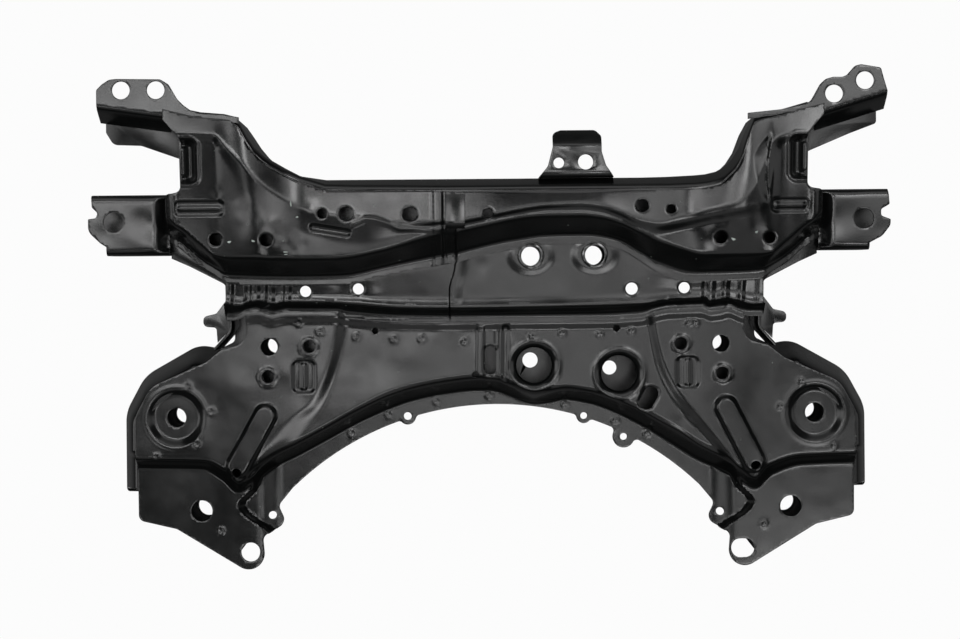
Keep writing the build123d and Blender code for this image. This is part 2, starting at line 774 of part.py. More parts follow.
def arm_plate(hand):
    """Return the top plate of an arm bracket, with its long upper edges rounded."""
    with BuildPart() as plate:
        with BuildSketch(Plane.XY.offset(arm_level)):
            add(plan_outline(arm_outlines[hand]))
            with Locations(arm_holes[hand]):
                Circle(arm_hole_bore, mode=Mode.SUBTRACT)
        extrude(amount=-bracket_sheet)
        long_edges = plate.edges().group_by(Axis.Z)[-1].filter_by(Axis.X).filter_by(GeomType.LINE)
        fillet(long_edges, arm_edge_radius)
    return plate.part


def arm_wall(outer_x, front_y):
    """Return a left arm bracket's upright wall, out to outer_x, with its front face at front_y."""
    with BuildPart() as wall:
        with BuildSketch(Plane.XZ.offset(-front_y)):
            with BuildLine():
                FilletPolyline(
                    (-arm_inner_x, arm_level - bracket_sheet),
                    (-outer_x, arm_level - bracket_sheet),
                    (-outer_x, arm_wall_foot),
                    (-arm_inner_x, arm_wall_foot),
                    radius=[0, 0, arm_wall_corner, 0],
                    close=True,
                )
            make_face()
            with Locations((-arm_bolt_x, arm_bolt_level)):
                Circle(arm_bolt_bore, mode=Mode.SUBTRACT)
        extrude(amount=bracket_sheet)
    return wall.part


for hand, ends in arm_wall_ends.items():
    save(arm_plate(hand), f"arm_bracket_{hand}")
    walls = {
        "front": arm_wall(ends["front"], arm_front_y),
        "rear": arm_wall(ends["rear"], arm_rear_y + bracket_sheet),
    }
    for place, wall in walls.items():
        if hand == "right":
            wall = mirror(wall, about=Plane.YZ)
        save(wall, f"arm_wall_{place}_{hand}")

# Gusset between each arm bracket and the box, a tray with its rim turned down
gusset_depth = 22.0
gusset_outline = [
    (-321, 64, 0), (-303, 56, 10), (-268, 38, 8), (-264, 26, 0), (-264.2, 53.5, 2),
    (-284.2, 59.4, 6), (-304.3, 73.4, 6), (-321, 96, 0),
]
with BuildPart() as arm_gusset_left:
    with BuildSketch(Plane.XY.offset(skirt_level)):
        add(plan_outline(gusset_outline))
    extrude(amount=-gusset_depth)
    with BuildSketch(Plane.XY.offset(skirt_level - sheet)):
        with Locations((sheet / 2, sheet)):
            add(plan_outline(gusset_outline))
    extrude(amount=-gusset_depth, mode=Mode.SUBTRACT)
save(arm_gusset_left.part, "arm_gusset_left")
save(mirror(arm_gusset_left.part, about=Plane.YZ), "arm_gusset_right")

# Horns: at each front corner a two-hole plate over a floor, bent along a slanting line
horn_level = front_level - 2 + tower_rise - sheet
horn_lip_run = 13.0
horn_lip_gap = 1.3
horn_wall_top = 3.0
horn_wall_foot = -4.0
horn_bore = 8.6
horn_bends = {"left": ((-385.3, 210), (-314, 200)), "right": ((383, 218), (311, 196))}
horn_outlines = {
    "left": [
        (-385.3, 184, 0), (-385.3, 232, 6), (-370.5, 240, 14), (-320, 238.5, 9), (-304, 212, 14),
        (-282, 204, 16), (-247, 200.5, 0), (-247, 194.5, 0), (-316, 204, 2), (-316, 184, 0),
    ],
    "right": [
        (316, 184, 0), (316, 204, 2), (247, 194.5, 0), (247, 200.5, 0), (282, 204, 16), (306, 214, 14),
        (320, 234.5, 8), (343, 235, 8), (357, 248.5, 7), (366, 243.5, 6), (378.5, 243.5, 2),
        (382.5, 218, 4), (383.5, 184, 0),
    ],
}
horn_holes = {"left": [(-361.3, 227.5), (-327.5, 227.5)], "right": [(331.0, 218.5), (361.1, 231.2)]}
horn_floor_inner_x = 306.2
horn_floors = {
    "left": [
        (-380.3, 240, 0), (-380.3, 188, 3), (-373, 176, 8), (-346, 175, 10), (-horn_floor_inner_x, 161, 0),
        (-horn_floor_inner_x, 240, 0),
    ],
    "right": [
        (horn_floor_inner_x, 240, 0), (horn_floor_inner_x, 163, 0), (349, 181, 10), (376, 191, 4),
        (376, 240, 0),
    ],
}


def bent_along(ends, rows):
    """Return a sheet bent along the line between two plan points; rows are (distance in front, level)."""
    (outer_x, outer_y), (inner_x, inner_y) = ends
    left = outer_x < inner_x
    run = Vector(inner_x - outer_x, inner_y - outer_y).normalized()
    front = Vector(-run.Y, run.X) if left else Vector(run.Y, -run.X)
    with BuildPart() as bent:
        across = Plane(origin=(outer_x, outer_y, 0), x_dir=front, z_dir=front.cross(Vector(0, 0, 1)))
        with BuildSketch(across):
            add(sheet_section(rows, sheet, bend_radius))
        extrude(amount=trim_height, both=True)
    return bent.part


for hand, ends in horn_bends.items():
    lip_level = horn_floor_level + horn_lip_gap
    with BuildPart() as horn_upper:
        add(bent_along(ends, [(60, horn_level), (0, horn_level), (-horn_lip_run, lip_level)]))
        add(trim_tool(plan_outline(horn_outlines[hand])), mode=Mode.INTERSECT)
        add(punches([(x, y, horn_bore) for x, y in horn_holes[hand]]), mode=Mode.SUBTRACT)
    save(horn_upper.part, f"horn_upper_{hand}")
    wall_top = horn_level - sheet - rim_lift
    with BuildPart() as horn_lower:
        add(
            bent_along(
                ends,
                [(horn_wall_top, wall_top), (horn_wall_foot, horn_floor_level), (-60, horn_floor_level)],
            )
        )
        add(trim_tool(plan_outline(horn_floors[hand])), mode=Mode.INTERSECT)
    save(horn_lower.part, f"horn_lower_{hand}")

# Engine mount tab on the front wall
tab_wall_y = 140.3
tab_outline = [
    (44, tab_wall_y, 0), (53, 151, 8), (58, 170, 6), (58, 184, 6), (66, 187, 4), (100, 187, 6),
    (106, 181, 5), (106, 165, 8), (110, 152, 8), (118, tab_wall_y, 0),
]
tab_bend_y = 172.0
tab_lip_drop = 14.0
tab_root = 36.0
tab_rows = [
    (188, tab_level - tab_lip_drop), (tab_bend_y, tab_level), (tab_wall_y, tab_level),
    (tab_wall_y, tab_level - tab_root),
]
tab_holes = [(63.8, 154.4, 5.2), (90.1, 155.1, 7.4)]
with BuildPart() as engine_mount_tab:
    with BuildSketch(Plane.YZ.offset(40)):
        add(sheet_section(tab_rows, sheet, bend_radius))
    extrude(amount=85)
    add(trim_tool(plan_outline(tab_outline)), mode=Mode.INTERSECT)
    add(punches(tab_holes), mode=Mode.SUBTRACT)
save(engine_mount_tab.part, "engine_mount_tab")

# Patch over the joint of the two front upper panels
patch_width = 19.0
patch_rows = [(124.5, front_level - 0.05), (97, front_level + 3), (90.5, front_level - 0.8)]
with BuildPart() as front_joint_plate:
    with BuildSketch(Plane.YZ.offset(joint_x - patch_width / 2)):
        add(sheet_section(patch_rows, patch_sheet, bend_radius))
    extrude(amount=patch_width)
save(front_joint_plate.part, "front_joint_plate")

# Tall tubes through the middle panel
engine_stand = 2.0
for name, place in engine_places.items():
    spacer = tube(place, engine_bore, engine_wall, front_floor_level + sheet, middle_level + engine_stand)
    save(spacer, f"engine_sleeve_{name}")
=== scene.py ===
import math

import bmesh
import bpy
import numpy as np
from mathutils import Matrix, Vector, bvhtree, geometry, kdtree


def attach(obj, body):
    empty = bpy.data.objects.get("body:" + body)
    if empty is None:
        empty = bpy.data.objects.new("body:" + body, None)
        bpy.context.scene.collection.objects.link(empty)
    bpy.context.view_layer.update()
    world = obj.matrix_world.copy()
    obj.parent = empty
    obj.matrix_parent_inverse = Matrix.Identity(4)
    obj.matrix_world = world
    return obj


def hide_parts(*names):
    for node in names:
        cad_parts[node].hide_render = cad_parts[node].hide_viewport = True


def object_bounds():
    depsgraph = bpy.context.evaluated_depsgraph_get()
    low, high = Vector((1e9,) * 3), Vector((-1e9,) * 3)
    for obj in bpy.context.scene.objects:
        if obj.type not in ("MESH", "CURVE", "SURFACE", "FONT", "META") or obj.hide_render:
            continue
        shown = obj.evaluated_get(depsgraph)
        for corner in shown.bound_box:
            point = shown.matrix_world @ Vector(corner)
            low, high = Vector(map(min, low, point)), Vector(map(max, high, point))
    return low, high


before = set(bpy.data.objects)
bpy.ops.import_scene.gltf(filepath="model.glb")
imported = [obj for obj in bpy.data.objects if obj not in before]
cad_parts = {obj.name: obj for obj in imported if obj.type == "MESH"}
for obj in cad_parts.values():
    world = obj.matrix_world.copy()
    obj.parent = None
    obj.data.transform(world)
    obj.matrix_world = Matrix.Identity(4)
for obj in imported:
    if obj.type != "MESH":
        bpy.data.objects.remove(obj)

bl_info = {
    "name": "Pressed Steel Subframe",
    "version": (1, 0, 0),
    "blender": (4, 5, 0),
    "location": "View3D > Sidebar > Subframe",
    "description": "Dresses a pressed and welded front suspension subframe in black dip coat",
    "category": "Object",
}

CAD_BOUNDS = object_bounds()
MM = 0.001

# Feature lines of the pressings in plan, each from left to right, in millimetres
FRONT_EDGE_LEFT = [
    (-324, 210), (-304, 205), (-286, 201), (-257, 198), (-249, 192), (-242, 180), (-236, 169),
    (-226, 159), (-208, 147), (-189, 138), (-174, 132), (-160, 129), (-92, 128), (-38, 127),
]
UPPER_CREASE_LEFT = [
    (-324, 185), (-271, 183), (-257, 169), (-242, 154), (-230, 140), (-218, 130), (-189, 113),
    (-160, 106), (-126, 103), (-92, 97), (-63, 97), (-38, 100),
]
LOWER_CREASE_LEFT = [
    (-324, 179), (-271, 177), (-265, 164), (-255, 150), (-244, 135), (-233, 120), (-220, 109),
    (-191, 91), (-170, 85), (-145, 79), (-121, 79), (-92, 86), (-63, 93), (-38, 95),
]
REAR_EDGE_LEFT = [
    (-324, 104), (-306, 92), (-287, 76), (-274, 66), (-258, 65), (-160, 63), (-146, 64),
    (-111, 70), (-72, 82), (-48, 88), (-38, 89),
]
WALL_FOOT_LEFT = [
    (-324, 90), (-311, 83), (-290, 65), (-275, 56), (-260, 47), (-192, 45), (-147, 46),
    (-113, 53), (-93, 57), (-54, 64), (-38, 67),
]
FRONT_EDGE_RIGHT = [
    (-38, 127), (143, 127), (201, 128), (213, 130), (221, 132), (227, 136), (235, 144), (241, 153),
    (246, 170), (251, 187), (257, 193), (275, 197), (299, 204), (324, 210),
]
UPPER_CREASE_RIGHT = [
    (-38, 98), (-14, 102), (6, 106), (25, 110), (45, 113), (84, 115), (103, 113), (118, 108),
    (142, 98), (162, 95), (181, 100), (220, 109), (240, 115), (254, 130), (264, 154), (272, 174),
    (289, 179), (324, 180),
]
LOWER_CREASE_RIGHT = [
    (-38, 93), (-4, 100), (16, 104), (35, 107), (55, 109), (84, 109), (103, 107), (123, 101),
    (142, 91), (162, 87), (201, 89), (240, 98), (257, 106), (267, 125), (273, 152), (279, 169),
    (289, 173), (324, 174),
]
REAR_EDGE_RIGHT = [
    (-38, 88), (-4, 95), (15, 99), (35, 102), (54, 103), (84, 103), (103, 101), (123, 95),
    (142, 86), (161, 78), (181, 71), (205, 64), (239, 63), (271, 64), (287, 76), (306, 92),
    (324, 104),
]
WALL_FOOT_RIGHT = [
    (-38, 66), (-24, 70), (6, 77), (25, 80), (45, 83), (65, 84), (94, 84), (109, 82), (124, 78),
    (143, 67), (163, 54), (193, 46), (242, 47), (260, 48), (275, 56), (290, 65), (311, 83),
    (324, 90),
]
MIDDLE_REAR_EDGE = [
    (-272, 22), (-259, 18.7), (-251, 17.7), (-241.5, 20.6), (-229.6, 21.5), (-216.8, 18.4), (-209.9, 20.3),
    (-192, 20), (-143, 18), (-93, 14), (-44, 13), (45, 14), (143, 16), (182.9, 19.8), (202.6, 20.7),
    (207.5, 22), (212.4, 17.6), (227.3, 20.4), (244, 17.3), (257.8, 14.3), (272, 15),
]
REAR_HEM = [
    (-370, 5), (-259.5, 4.7), (-252.5, 6.6), (-244.6, 10.5), (-234.6, 11.4), (-227.7, 9.4), (-220.8, 7.4),
    (-212.8, 9.3), (-202.9, 10.2), (-156.4, 9.8), (-145, 7), (-94, 3), (-44, 2), (104, 2), (145, 4),
    (157.8, 8), (173.7, 10.9), (205.4, 11.6), (213.3, 8.5), (223.2, 9.4), (231.2, 11.4), (245, 6.3),
    (252.9, 5.2), (370, 5),
]
ARC_WALL_TOP = [
    (-370, -135), (-289, -137), (-271, -145), (-256, -158), (-240, -147), (-221, -132),
    (-194, -118), (-164, -102), (-135, -86), (-106, -72), (-77, -64), (-48, -59), (-18, -56),
    (0, -57), (14, -62), (29, -69), (39, -71), (52, -69), (69, -67), (94, -70), (114, -76),
    (143, -88), (163, -99), (183, -110), (202, -123), (222, -134), (241, -147), (257, -158),
    (272, -145), (301, -137), (370, -135),
]
ARC_WALL_FOOT = [
    (-370, -143), (-293, -145), (-274, -155), (-257, -169), (-240, -158), (-225, -146),
    (-197, -132), (-167, -116), (-137, -100), (-107, -87), (-84, -79), (-49, -72), (-18, -69),
    (0, -70), (15, -75), (30, -81), (40, -83), (53, -82), (70, -79), (95, -83), (115, -90),
    (145, -105), (165, -117), (185, -130), (205, -142), (226, -151), (242, -160), (258, -169),
    (275, -155), (306, -145), (370, -143),
]

# Sheet metal and the levels of the skins above the floor, in millimetres
SHEET = 2.5
OFFSET_LIMIT = 1.6  # how many thicknesses a lower vertex may lie from its upper one at a sharp fold
BEND_SHIFTS = (-4, -2.5, -1.2, 0, 1.2, 2.5, 4)  # where a rounded bend needs points across it
WELD_FLANGE = 9.0
UNDERLAP = 16.0  # how far a middle panel runs on under the front panel
REAR_BACK = -275.0  # beyond the rear panel's last point
FRONT_LEVEL = 120.0
TOWER_RISE = 14.0
TOWER_TOP = 134.9  # the part's highest level
MIDDLE_LEVEL = 92.0
REAR_LEVEL = 80.0
PAD_LEVEL = 64.0
ARC_LEVEL = 44.0
SIDE_LIP_LEVEL = 84.0
MIDDLE_END = 266.0
JOINT_X = -38.0

# Trim outlines: (x, y, corner radius), the left side's mirrored for the right
TOWER_SIDE = [
    (-321, 240, 0), (-321, 199, 5), (-305, 181, 3), (-305, 129, 6), (-321, 126, 3), (-321, 40, 0),
    (100, 20, 0), (100, 240, 0),
]
REAR_CORNER = [
    (-247, 60, 0), (-247, -20, 14), (-272, -27, 4), (-287, -39, 6), (-342, -63, 26),
    (-358, -93, 26), (-357, -197, 7), (-319, -206, 8), (-229, -261, 16), (-233, -214, 7),
    (-211, -203, 9), (-219, -185, 7),
]
ARC_EDGE = (205.0, -168.0)
ARC_CROWN = -85.0
ARC_TABS = [(-88.4, -96.4, 8.5, 4.0), (88.8, -97.5, 7.5, 3.5), (128.7, -118.9, 11.0, 3.6)]

# Bores and seats: places, radii and depths
MOUNT = (294.0, -188.0, 10.5)
BUSH = (317.0, -94.0, 9.5)
BUSH_DISH = (21.0, 29.0, 5.0)
EAR = (245.5, -229.5, 9.5)
EAR_SLOT_LENGTH = 23.5
LOBE = (224.5, -194.5, 4.0)
RACK = (224.0, -24.5, 8.3)
RACK_NUTS = [(184.5, -24.5), (225.5, -54.2)]
RACK_NUT_BORE = 6.0
ENGINE_SLEEVES = [(36.1, 63.5), (99.0, 63.9)]
ENGINE_SLEEVE_RADIUS = 12.6
ENGINE_NOTCH = 14.0
FRONT_HOLES_LEFT = [
    (-272, 82, 5.8), (-222.4, 81, 5.8), (-167.7, 106.5, 4.4), (-144.3, 106, 6.6), (-82, 105, 6.8),
]
FRONT_HOLES_RIGHT = [
    (-5.9, 105, 4.8), (144.7, 111.5, 5.8), (172.9, 108, 4.0), (221.4, 80, 5.8), (268.7, 79.5, 5.3),
]
MIDDLE_HOLES_LEFT = [(-186.7, 30.5, 5.3), (-134.5, 32.5, 5.3)]
MIDDLE_HOLES_RIGHT = [(135.3, 30.5, 5.8), (187.2, 31.0, 5.3)]
ACCESS_HOLES = [(38.7, -45.0), (123.3, -53.7)]
ACCESS_RADIUS = 17.5
ACCESS_RIM = 24.0
ACCESS_DEPTH = 8.0


def along(line, x):
    """Return y at each x on a smooth curve through a feature line, with no overshoot."""
    knots = np.array(line, float)
    xs, ys = knots[:, 0], knots[:, 1]
    runs = np.diff(xs)
    slopes = np.diff(ys) / runs
    before, after = slopes[:-1], slopes[1:]
    turning = before * after > 0
    middle = np.zeros(len(before))
    middle[turning] = 2 * (before * after)[turning] / (before + after)[turning]
    tangents = np.concatenate(([slopes[0]], middle, [slopes[-1]]))
    x = np.clip(x, xs[0], xs[-1])
    i = np.clip(np.searchsorted(xs, x) - 1, 0, len(runs) - 1)
    run = runs[i]
    t = (x - xs[i]) / run
    return (
        (2 * t**3 - 3 * t**2 + 1) * ys[i]
        + (t**3 - 2 * t**2 + t) * run * tangents[i]
        + (3 * t**2 - 2 * t**3) * ys[i + 1]
        + (t**3 - t**2) * run * tangents[i + 1]
    )


def ramp(value, low, high):
    """Return 0 below low, 1 above high and a soft step between them."""
    t = np.clip((value - low) / (high - low), 0, 1)
    return t * t * (3 - 2 * t)


def ring(value, low, full, fade, end):
    """Return a soft ridge: 0 below low, 1 from full to fade, and 0 past the end."""
    return ramp(value, low, full) * (1 - ramp(value, fade, end))


def bent(rows, reach, x, y):
    """Return the height of a sheet bent along rows of (y, z); each bend is rounded over its reach."""
    rows = [(np.broadcast_to(a, x.shape), np.broadcast_to(b, x.shape)) for a, b in rows]
    runs = [rows[i][0] - rows[i + 1][0] for i in range(len(rows) - 1)]
    slopes = [(rows[i + 1][1] - rows[i][1]) / runs[i] for i in range(len(rows) - 1)]
    z = rows[0][1] + slopes[0] * (rows[0][0] - y)
    for i in range(1, len(rows) - 1):
        half = np.minimum(reach[i - 1], 0.45 * np.minimum(runs[i - 1], runs[i]))
        past = rows[i][0] - y
        hinge = np.where(past <= -half, 0, np.where(past >= half, past, (past + half) ** 2 / (4 * half)))
        z = z + (slopes[i] - slopes[i - 1]) * hinge
    return z


def from_point(place, x, y):
    """Return the distance of each point from a place."""
    return np.hypot(x - place[0], y - place[1])


def from_path(path, x, y):
    """Return the distance of each point from a path of straight runs."""
    nearest = np.full(x.shape, 1e9)
    for (ax, ay), (bx, by) in zip(path, path[1:]):
        dx, dy = bx - ax, by - ay
        t = np.clip(((x - ax) * dx + (y - ay) * dy) / (dx * dx + dy * dy), 0, 1)
        nearest = np.minimum(nearest, np.hypot(x - ax - t * dx, y - ay - t * dy))
    return nearest


def from_box(centre, size, corner, turn, x, y):
    """Return the distance of each point outside a turned, round-cornered box, negative inside."""
    c, s = math.cos(turn), math.sin(turn)
    u = abs((x - centre[0]) * c + (y - centre[1]) * s) - size[0] / 2 + corner
    v = abs((y - centre[1]) * c - (x - centre[0]) * s) - size[1] / 2 + corner
    return np.hypot(np.maximum(u, 0), np.maximum(v, 0)) + np.minimum(np.maximum(u, v), 0) - corner


def rounded(corners, spacing=1.5, limit=0.49):
    """Return a closed outline through (x, y, radius) corners, each arc held to a share of its edges."""
    outline = []
    places = [Vector(c[:2]) for c in corners]
    for i, place in enumerate(places):
        radius = corners[i][2]
        back, on = places[i - 1] - place, places[(i + 1) % len(places)] - place
        room = min(back.length, on.length)
        back, on = back.normalized(), on.normalized()
        half = back.angle(on) / 2
        cut = radius / math.tan(half) if radius else 0.0
        share = min(1.0, limit * room / cut) if cut else 0.0
        start, end = place + back * cut * share, place + on * cut * share
        if radius:
            middle = place + (back + on).normalized() * (radius * share / math.sin(half))
            first, last = (math.atan2(p.y - middle.y, p.x - middle.x) for p in (start, end))
            sweep = (last - first + math.pi) % (2 * math.pi) - math.pi
            pieces = max(2, math.ceil(abs(sweep) * radius * share / spacing))
            for k in range(pieces + 1):
                angle = first + sweep * k / pieces
                outline.append(middle + Vector((math.cos(angle), math.sin(angle))) * (radius * share))
        else:
            outline.append(place)
    filled = []
    for a, b in zip(outline, outline[1:] + outline[:1]):
        pieces = max(1, math.ceil((b - a).length / (2 * spacing)))
        filled += [tuple(a.lerp(b, k / pieces)) for k in range(pieces)]
    return np.array(filled)


def circle(x, y, radius, spacing=1.2):
    """Return a round outline."""
    count = max(16, round(2 * math.pi * radius / spacing))
    angles = np.arange(count) * 2 * math.pi / count
    return np.stack([x + radius * np.cos(angles), y + radius * np.sin(angles)], 1)


def oval(x, y, width, length, turn):
    """Return an oval slot's outline: a box with full round ends, its length turned from +Y."""
    angles = np.arange(28) * 2 * math.pi / 28
    u = width / 2 * np.cos(angles)
    v = width / 2 * np.sin(angles) + np.sign(np.sin(angles)) * (length - width) / 2
    c, s = math.cos(turn), math.sin(turn)
    return np.stack([x + u * c - v * s, y + u * s + v * c], 1)


def mirrored(corners):
    """Return an outline's corners for the other side of the car."""
    return [(-c[0], *c[1:]) for c in corners[::-1]]


def both_sides(places):
    """Return (x, y, ...) places on both sides of the car."""
    return [(side * p[0], *p[1:]) for p in places for side in (-1, 1)]


def inside(outline, x, y):
    """Say which points lie inside a closed outline."""
    hit = np.zeros(x.shape, bool)
    for (ax, ay), (bx, by) in zip(outline, np.roll(outline, -1, 0)):
        if ay != by:
            crosses = (ay > y) != (by > y)
            hit ^= crosses & (x < (bx - ax) * (y - ay) / (by - ay) + ax)
    return hit


def thinned(groups, gap):
    """Return the points of the groups, each later group only where it is clear of the ones before."""
    kept = list(groups[0])
    for points in groups[1:]:
        tree = kdtree.KDTree(len(kept))
        for i, (x, y) in enumerate(kept):
            tree.insert((x, y, 0), i)
        tree.balance()
        kept += [p for p in points if tree.find((p[0], p[1], 0))[2] > gap]
    return kept


def hex_grid(low, high, spacing):
    """Return a grid of points in staggered rows between two corners."""
    rows = np.arange(low[1], high[1], spacing * 0.866)
    columns = np.arange(low[0], high[0], spacing)
    x, y = np.meshgrid(columns, rows)
    x = x + (np.arange(len(rows)) % 2)[:, None] * spacing / 2
    return np.stack([x.ravel(), y.ravel()], 1)


def pressed_sheet(name, keep, holes, shape, lines, fine=None, step=3.0, fine_step=1.5):
    """Return a mesh of a sheet's upper skin, cut to its outlines and punched in the flat.

    shape gives each flat point its height, or its whole place where the sheet is folded upright.
    """
    edge_points, edges = [], []
    for outline in keep + holes:
        first = len(edge_points)
        edge_points += [tuple(p) for p in outline]
        edges += [(first + i, first + (i + 1) % len(outline)) for i in range(len(outline))]
    all_edges = np.array(edge_points)
    low, high = all_edges.min(0), all_edges.max(0)
    groups = [edge_points]
    if fine is not None:
        points = hex_grid(low, high, fine_step)
        groups.append(points[fine(points[:, 0], points[:, 1])])
    stations = np.arange(low[0] + step / 2, high[0], step)
    groups.append(np.concatenate([np.stack([stations, line(stations)], 1) for line in lines]))
    groups.append(hex_grid(low, high, step))
    rest = np.concatenate(groups[1:])
    good = np.all([inside(outline, rest[:, 0], rest[:, 1]) for outline in keep], 0)
    for outline in holes:
        good &= ~inside(outline, rest[:, 0], rest[:, 1])
    start = 0
    sorted_groups = [edge_points]
    for group in groups[1:]:
        sorted_groups.append(group[good[start : start + len(group)]])
        start += len(group)
    points = thinned(sorted_groups, 0.5 * fine_step)
    made = geometry.delaunay_2d_cdt([Vector(p) for p in points], edges, [], 1, 1e-4, False)
    flat = np.array([tuple(v) for v in made[0]])
    faces = np.array(made[2])
    middle = flat[faces].mean(1)
    stays = np.all([inside(outline, middle[:, 0], middle[:, 1]) for outline in keep], 0)
    for outline in holes:
        stays &= ~inside(outline, middle[:, 0], middle[:, 1])
    faces = faces[stays]
    used, renamed = np.unique(faces, return_inverse=True)
    flat = flat[used]
    formed = shape(flat[:, 0], flat[:, 1])
    places = np.column_stack(formed if isinstance(formed, tuple) else [flat, formed])
    mesh = bpy.data.meshes.new(name)
    mesh.from_pydata((places * MM).tolist(), [], renamed.reshape(-1, 3).tolist())
    return mesh


def settled(piece, sharp=38.0):
    """Turn a piece's modifiers into plain mesh, smooth but for its sharp edges."""
    bpy.context.view_layer.update()
    ready = piece.evaluated_get(bpy.context.evaluated_depsgraph_get())
    mesh = bpy.data.meshes.new_from_object(ready)
    piece.modifiers.clear()
    piece.data = mesh
    mesh.name = piece.name
    mesh.shade_smooth()
    mesh.set_sharp_from_angle(angle=math.radians(sharp))
    return piece


def linked(name, mesh):
    """Return a new object of a mesh, in the scene."""
    piece = bpy.data.objects.new(name, mesh)
    bpy.context.scene.collection.objects.link(piece)
    return piece


def dressed(piece, material, slot, *nodes):
    """Give a finished piece its coat and body, and hide the nodes that it stands for."""
    piece.data.materials.clear()
    piece.data.materials.append(material)
    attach(piece, "root")
    if nodes:
        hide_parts(*nodes)
    return piece


def bevelled(piece, edge, angle, sharp=38.0):
    """Round a piece's edges that are sharper than the angle, and settle it."""
    rim = piece.modifiers.new("rim", "BEVEL")
    rim.width = edge * MM
    rim.segments = 2
    rim.limit_method = "ANGLE"
    rim.angle_limit = math.radians(angle)
    rim.use_clamp_overlap = False
    return settled(piece, sharp)


def thickened(piece, thickness=SHEET, share=1.0):
    """Give an upper skin the sheet's thickness, and its rims a share of the usual round edge.

    A lower vertex that the even offset throws out, or one that the bevel does, is brought back.
    """
    edge = share * bpy.context.scene.subframe_sizes.rim_edge / MM
    wall = piece.modifiers.new("wall", "SOLIDIFY")
    wall.thickness = thickness * MM
    wall.offset = -1.0
    wall.use_even_offset = True
    upper = len(piece.data.vertices)
    settled(piece)
    vertices = piece.data.vertices
    if len(vertices) == 2 * upper:
        for top, low in zip(vertices[:upper], vertices[upper:]):
            drop = low.co - top.co
            if drop.length > OFFSET_LIMIT * thickness * MM:
                low.co = top.co + drop.normalized() * OFFSET_LIMIT * thickness * MM
    square = bmesh.new()
    square.from_mesh(piece.data)
    skin = bvhtree.BVHTree.FromBMesh(square)
    square.free()
    bevelled(piece, edge, 55)
    for vertex in piece.data.vertices:
        place, _, _, away = skin.find_nearest(vertex.co)
        if away > edge * MM:
            vertex.co = place
    return piece


# Heights that change along the panels
def tower_share(x):
    """Return how far x lies up on a strut tower, from 0 to 1."""
    return ramp(abs(x), 185, 246)


def wall_foot_level(x):
    """Return the level that the front box's rear wall comes down to."""
    return MIDDLE_LEVEL + (SIDE_LIP_LEVEL - MIDDLE_LEVEL) * ramp(abs(x), MIDDLE_END, 290) + SHEET


def front_height(lines):
    """Return the height of a front upper panel from its feature lines."""
    front_edge, upper_crease, lower_crease, rear_edge, wall_foot = lines

    def height(x, y):
        rise = TOWER_RISE * tower_share(x)
        foot = along(wall_foot, x)
        rows = [
            (along(front_edge, x), FRONT_LEVEL - 2 + rise),
            (along(upper_crease, x), FRONT_LEVEL + 1 + rise),
            (along(lower_crease, x), FRONT_LEVEL - 3 + rise),
            (along(rear_edge, x), FRONT_LEVEL - 4),
            (foot, wall_foot_level(x)),
            (foot - WELD_FLANGE, wall_foot_level(x)),
        ]
        return bent(rows, (3.0, 3.0, 3.0, 3.0), x, y)

    return height


def strip_outline(lines, low, high):
    """Return the outline between the first and last feature lines, from x low to high."""
    x = np.linspace(low, high, round((high - low) / 2) + 1)
    front = np.stack([x, lines[0](x)], 1)
    rear = np.stack([x, lines[-1](x)], 1)[::-1]
    return np.concatenate([front, rear])


# Front upper panels
LINES_LEFT = (FRONT_EDGE_LEFT, UPPER_CREASE_LEFT, LOWER_CREASE_LEFT, REAR_EDGE_LEFT, WALL_FOOT_LEFT)
LINES_RIGHT = (FRONT_EDGE_RIGHT, UPPER_CREASE_RIGHT, LOWER_CREASE_RIGHT, REAR_EDGE_RIGHT, WALL_FOOT_RIGHT)
STITCH_LEFT = ((-287.5, 112.5), (50, 16), 5)
STITCH_RIGHT = ((288.5, 111), (38, 15), 5)
SLOT_LEFT = ((-160, 90.5), (42, 9), 4, -0.17)
POCKET = ((307.0, 158.0), (38, 43), 7, 0.0)
POCKET_DEPTH, POCKET_LIP = 11.0, 7.0
RIM_SUNK = (0.9, 1.8)  # the depth and reach of a punched hole's sunk rim
STEP_DROP, CRESCENT_DEPTH = 3.0, 3.0
JOINT_RIDGES = [(-55.1, 3.0, 5.2, 1.2), (-48.5, 0.6, 2.2, -1.4)]  # x, half width, foot and height
ROLL_END = 127.0  # the front panels' outer ends are rolled down behind this y
STEP_UPPER = [
    (142, 87.8), (161.6, 93.5), (181, 99.2), (200.6, 102.9), (220, 107.6), (239.7, 110.3), (249.5, 113.2),
]
STEP_MIDDLE = [(138, 83.5), (142, 84), (162, 87.2), (200.5, 96.1), (239.6, 104), (270, 110)]
CRESCENT_SIDES = (  # the dent on the right tower: (y, x) along its left and right sides
    [
        (112, 262.5), (118.5, 260.5), (125.3, 257.7), (144.7, 253), (156.4, 252), (164, 255),
        (178.5, 265.9), (182, 268),
    ],
    [
        (112, 265.5), (120.4, 265.4), (134.9, 263.6), (149.5, 263.7), (164, 265.7), (178.5, 267.4),
        (182, 268.5),
    ],
)
DENTS_LEFT = [  # dents and scuffs: x, y, reach and depth
    (-268, 128, 5, 0.35), (-252, 121, 4, -0.3), (-246, 101, 5, 0.3), (-236, 112, 3.5, -0.35),
    (-228, 99, 4, 0.3), (-214, 100, 3.5, 0.4), (-208, 88, 4, -0.3), (-203, 77, 5, 0.5),
    (-196, 70, 4, 0.4), (-220, 68, 6, 0.5), (-232, 72, 4, -0.3), (-187, 76, 4, 0.3), (-178, 112, 6, 0.5),
]
DENTS_RIGHT = [
    (233, 92, 4, 0.3), (247, 90, 4, -0.3), (222, 94, 3.5, 0.3), (241, 79, 4, 0.35), (256, 92, 4, 0.3),
    (211, 83, 4, -0.25), (144, 84, 3, 0.3),
]
